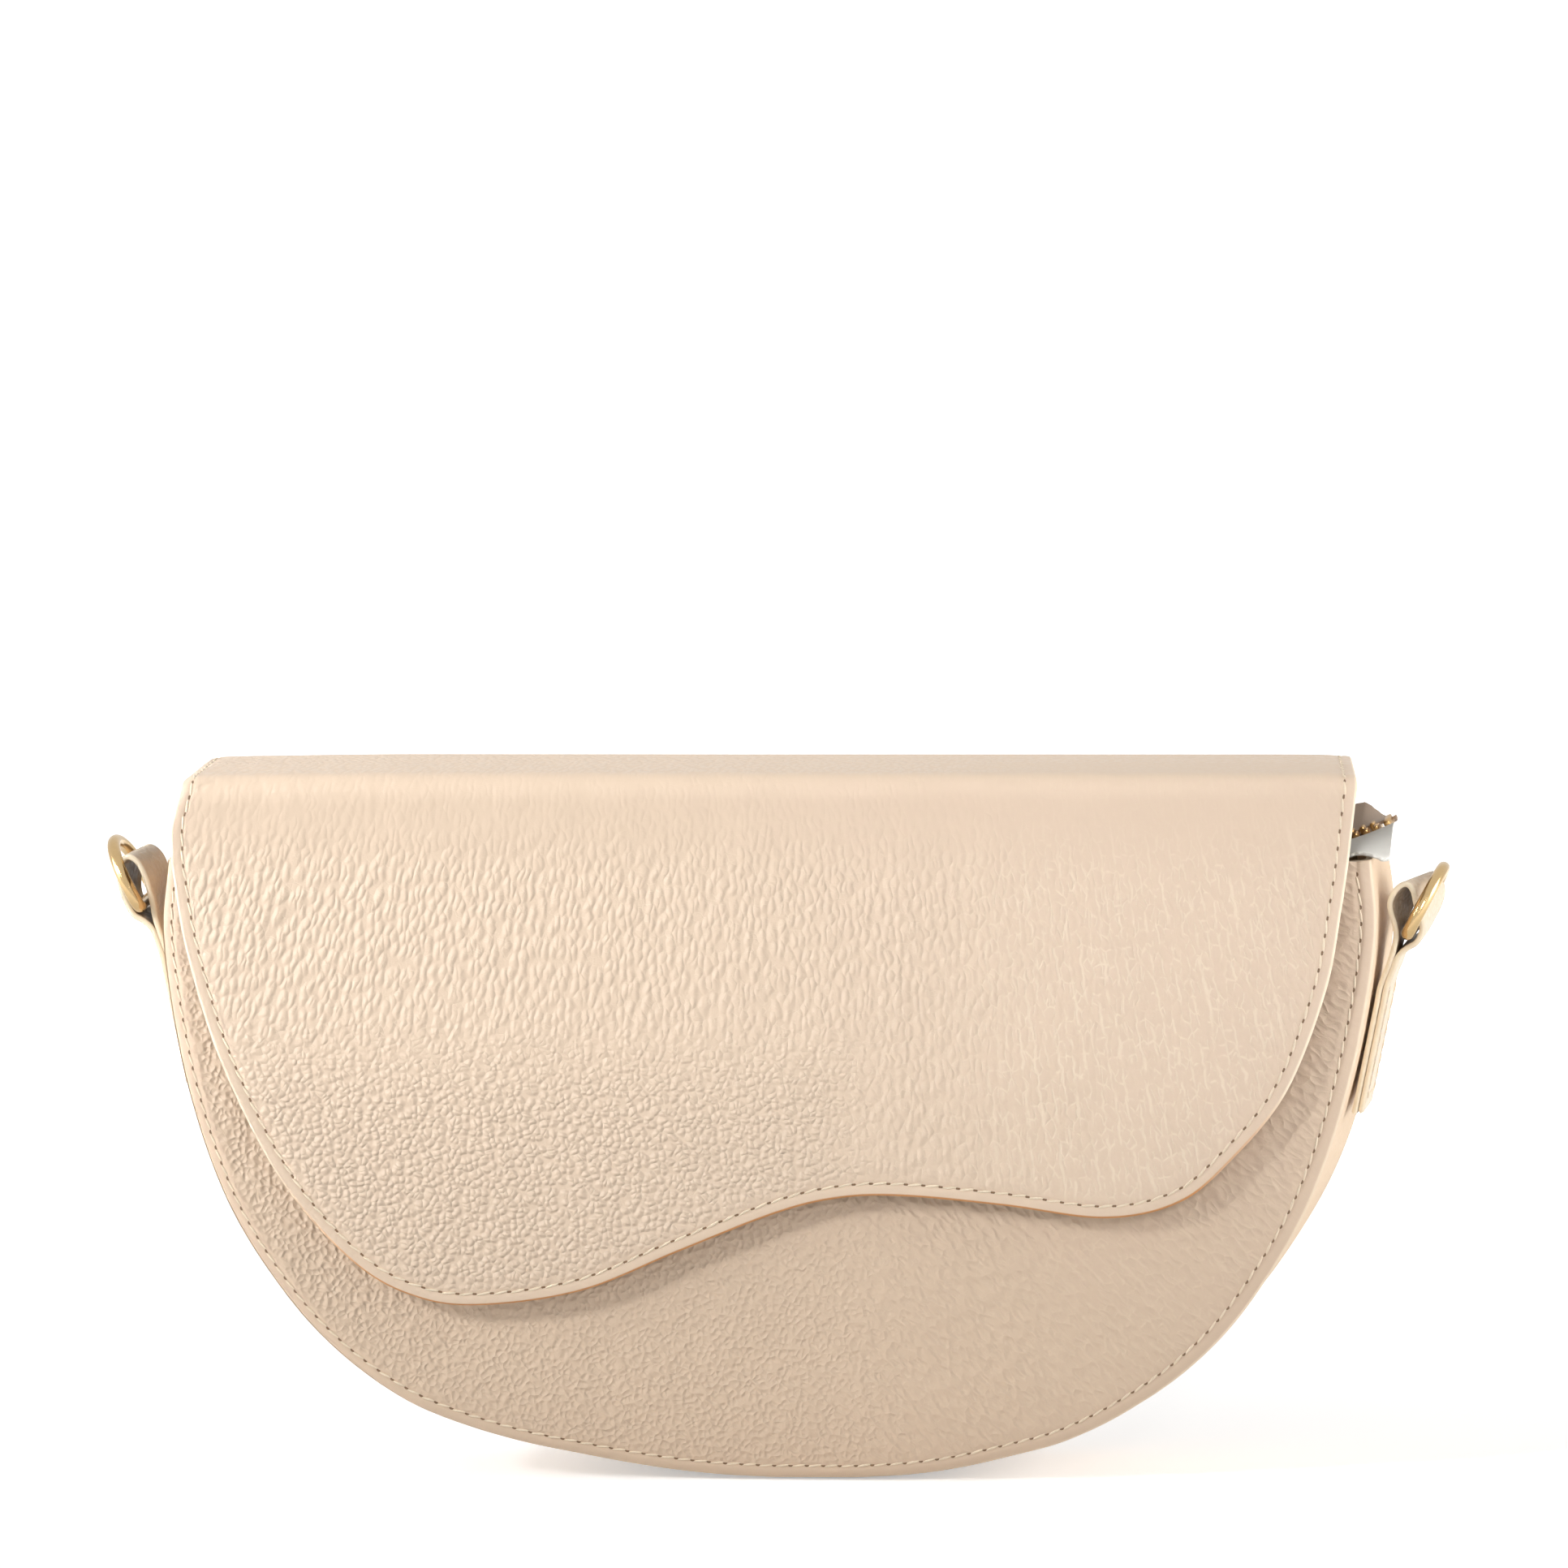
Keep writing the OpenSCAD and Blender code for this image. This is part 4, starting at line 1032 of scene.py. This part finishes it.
# %% Stitches on the tabs
def tab_stitches(name, side):
    """One row in the shape of a U: down one side, along the foot and up the other."""
    top, low = TABS[side][1] - 13, TABS[side][3] + 4
    z = np.r_[np.linspace(top, low, 20), np.full(8, low), np.linspace(low, top, 20)[1:]]
    y = np.r_[np.full(20, -TAB_SEAM), np.linspace(-TAB_SEAM, TAB_SEAM, 9)[1:], np.full(19, TAB_SEAM)]
    path = spots(side * (tab_x(side, z) + TAB_OUTER + 0.62), MID_Y + y, z)
    out = np.tile([side * 0.977, 0, -0.214], (len(z), 1))
    return dress(sew(name, path, out, pitch=3.4, thick=0.6), None, "bag", "tab_leather")

for side, word in SIDES:
    tab_stitches(word + "_tab_stitches", side)

# %% [markdown]
# ## Camera, light and floor
# The photograph was taken from a little to the right and above. Big soft lights graze the
# leather from the sides, which shows its grain and keeps it from burning out. Two narrow ones
# lift its upper corners, and the floor is white to the camera but keeps the bag's shadow.

# %% Camera and lights
def set_up(name, data, place, goal):
    """A camera or a lamp at its place, turned to its goal."""
    made = bpy.data.objects.new(name, data)
    bpy.context.collection.objects.link(made)
    made.location = place
    made.rotation_euler = (Vector(goal) - made.location).to_track_quat("-Z", "Y").to_euler()
    return made

AZ, EL, FAR, ROLL = math.radians(8), math.radians(7.7), 4.8, math.radians(-1.05)
target = Vector((0.0065, -0.03, 0.1626))
eye = bpy.data.cameras.new("photo_camera")
eye.lens, eye.sensor_width = 483.5, 36
away = FAR * Vector((math.sin(AZ) * math.cos(EL), -math.cos(AZ) * math.cos(EL), math.sin(EL)))
camera = set_up("photo_camera", eye, target + away, target)
camera.rotation_euler.rotate_axis("Z", ROLL)
bpy.context.scene.camera = camera

def softbox(name, place, size, power, goal=(0, 0, 0.09), spread=180):
    light = bpy.data.lights.new(name, "AREA")
    light.shape, light.size, light.energy, light.spread = "SQUARE", size, power, math.radians(spread)
    set_up(name, light, place, goal)

softbox("left_light", (-1.5, -0.3, 0.5), 0.7, 12)
softbox("right_light", (1.4, -0.1, 0.5), 0.8, 12)
softbox("right_fill", (1.5, -0.9, 0.35), 1.0, 1.8)
softbox("upper_left_spot", (-1.2, -0.95, 0.95), 0.3, 0.33, (-0.19, 0, 0.22), 17)
softbox("upper_right_spot", (0.6, -1.4, 0.75), 0.3, 0.1, (0.17, 0, 0.24), 14)

# %% White to the camera
WHITE = (1, 1, 1, 1)

def direct_rays(tree, *others):
    """1 where the camera looks straight, in a mirror, or as the others say."""
    ray = add(tree, "LightPath").outputs
    seen = maths(tree, "ADD", ray["Is Camera Ray"], ray["Is Glossy Ray"], clamp=True)
    for other in others:
        seen = maths(tree, "ADD", seen, ray[other], clamp=True)
    return seen

STUDIO_LIGHT = 0.378
world = bpy.data.worlds.new("studio")
bpy.context.scene.world = world
world.use_nodes = True
tree = world.node_tree
glow = feed(tree.nodes["Background"], Color=WHITE, Strength=STUDIO_LIGHT)
seen = add(tree, "Background", Color=WHITE, Strength=1.0)
both = add(tree, "MixShader", i0=direct_rays(tree, "Is Transmission Ray"),
           i1=glow.outputs[0], i2=seen.outputs[0])
feed(tree.nodes["World Output"], i0=both.outputs[0])

clear_selection()
bpy.ops.mesh.primitive_plane_add(size=8, location=(0, 0, -0.0002))
floor = bpy.context.object
floor.name = "studio_floor"
paper, tree, matt = new_material("white_paper", Base_Color=(0.86, 0.86, 0.86, 1), Roughness=0.9,
                                 Specular_IOR_Level=0.0)
# The paper glows less round the bag, where its shadow falls, and is plain white further out.
NEAR_GLOW, GLOW_FROM, WHITE_FROM = 0.42, 0.22, 0.6
spot = add(tree, "TexCoord").outputs["Object"]
far = add(tree, "VectorMath", {"operation": "LENGTH"}, i0=spot).outputs["Value"]
paper_glow = ramp(tree, far, GLOW_FROM, WHITE_FROM, NEAR_GLOW)
lit = add(tree, "Emission", Color=WHITE, Strength=times(tree, direct_rays(tree), paper_glow))
sum_up = add(tree, "AddShader", i0=matt.outputs[0], i1=lit.outputs[0])
feed(tree.nodes["Material Output"], i0=sum_up.outputs[0])
floor.data.materials.append(paper)
bpy.context.scene.view_settings.view_transform = "Standard"

# %% [markdown]
# ## Stiffening boards
# Behind each panel a thin fibre board keeps the half-moon's shape. The leather and the lining
# hide it, so the CAD's own plates are carried over and only get the board's material.

# %% Boards
for name in ("front_stiffener", "back_stiffener"):
    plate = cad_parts[name].data
    plate.materials.clear()
    plate.materials.append(board)
    print(name, "has", len(plate.polygons), "faces")
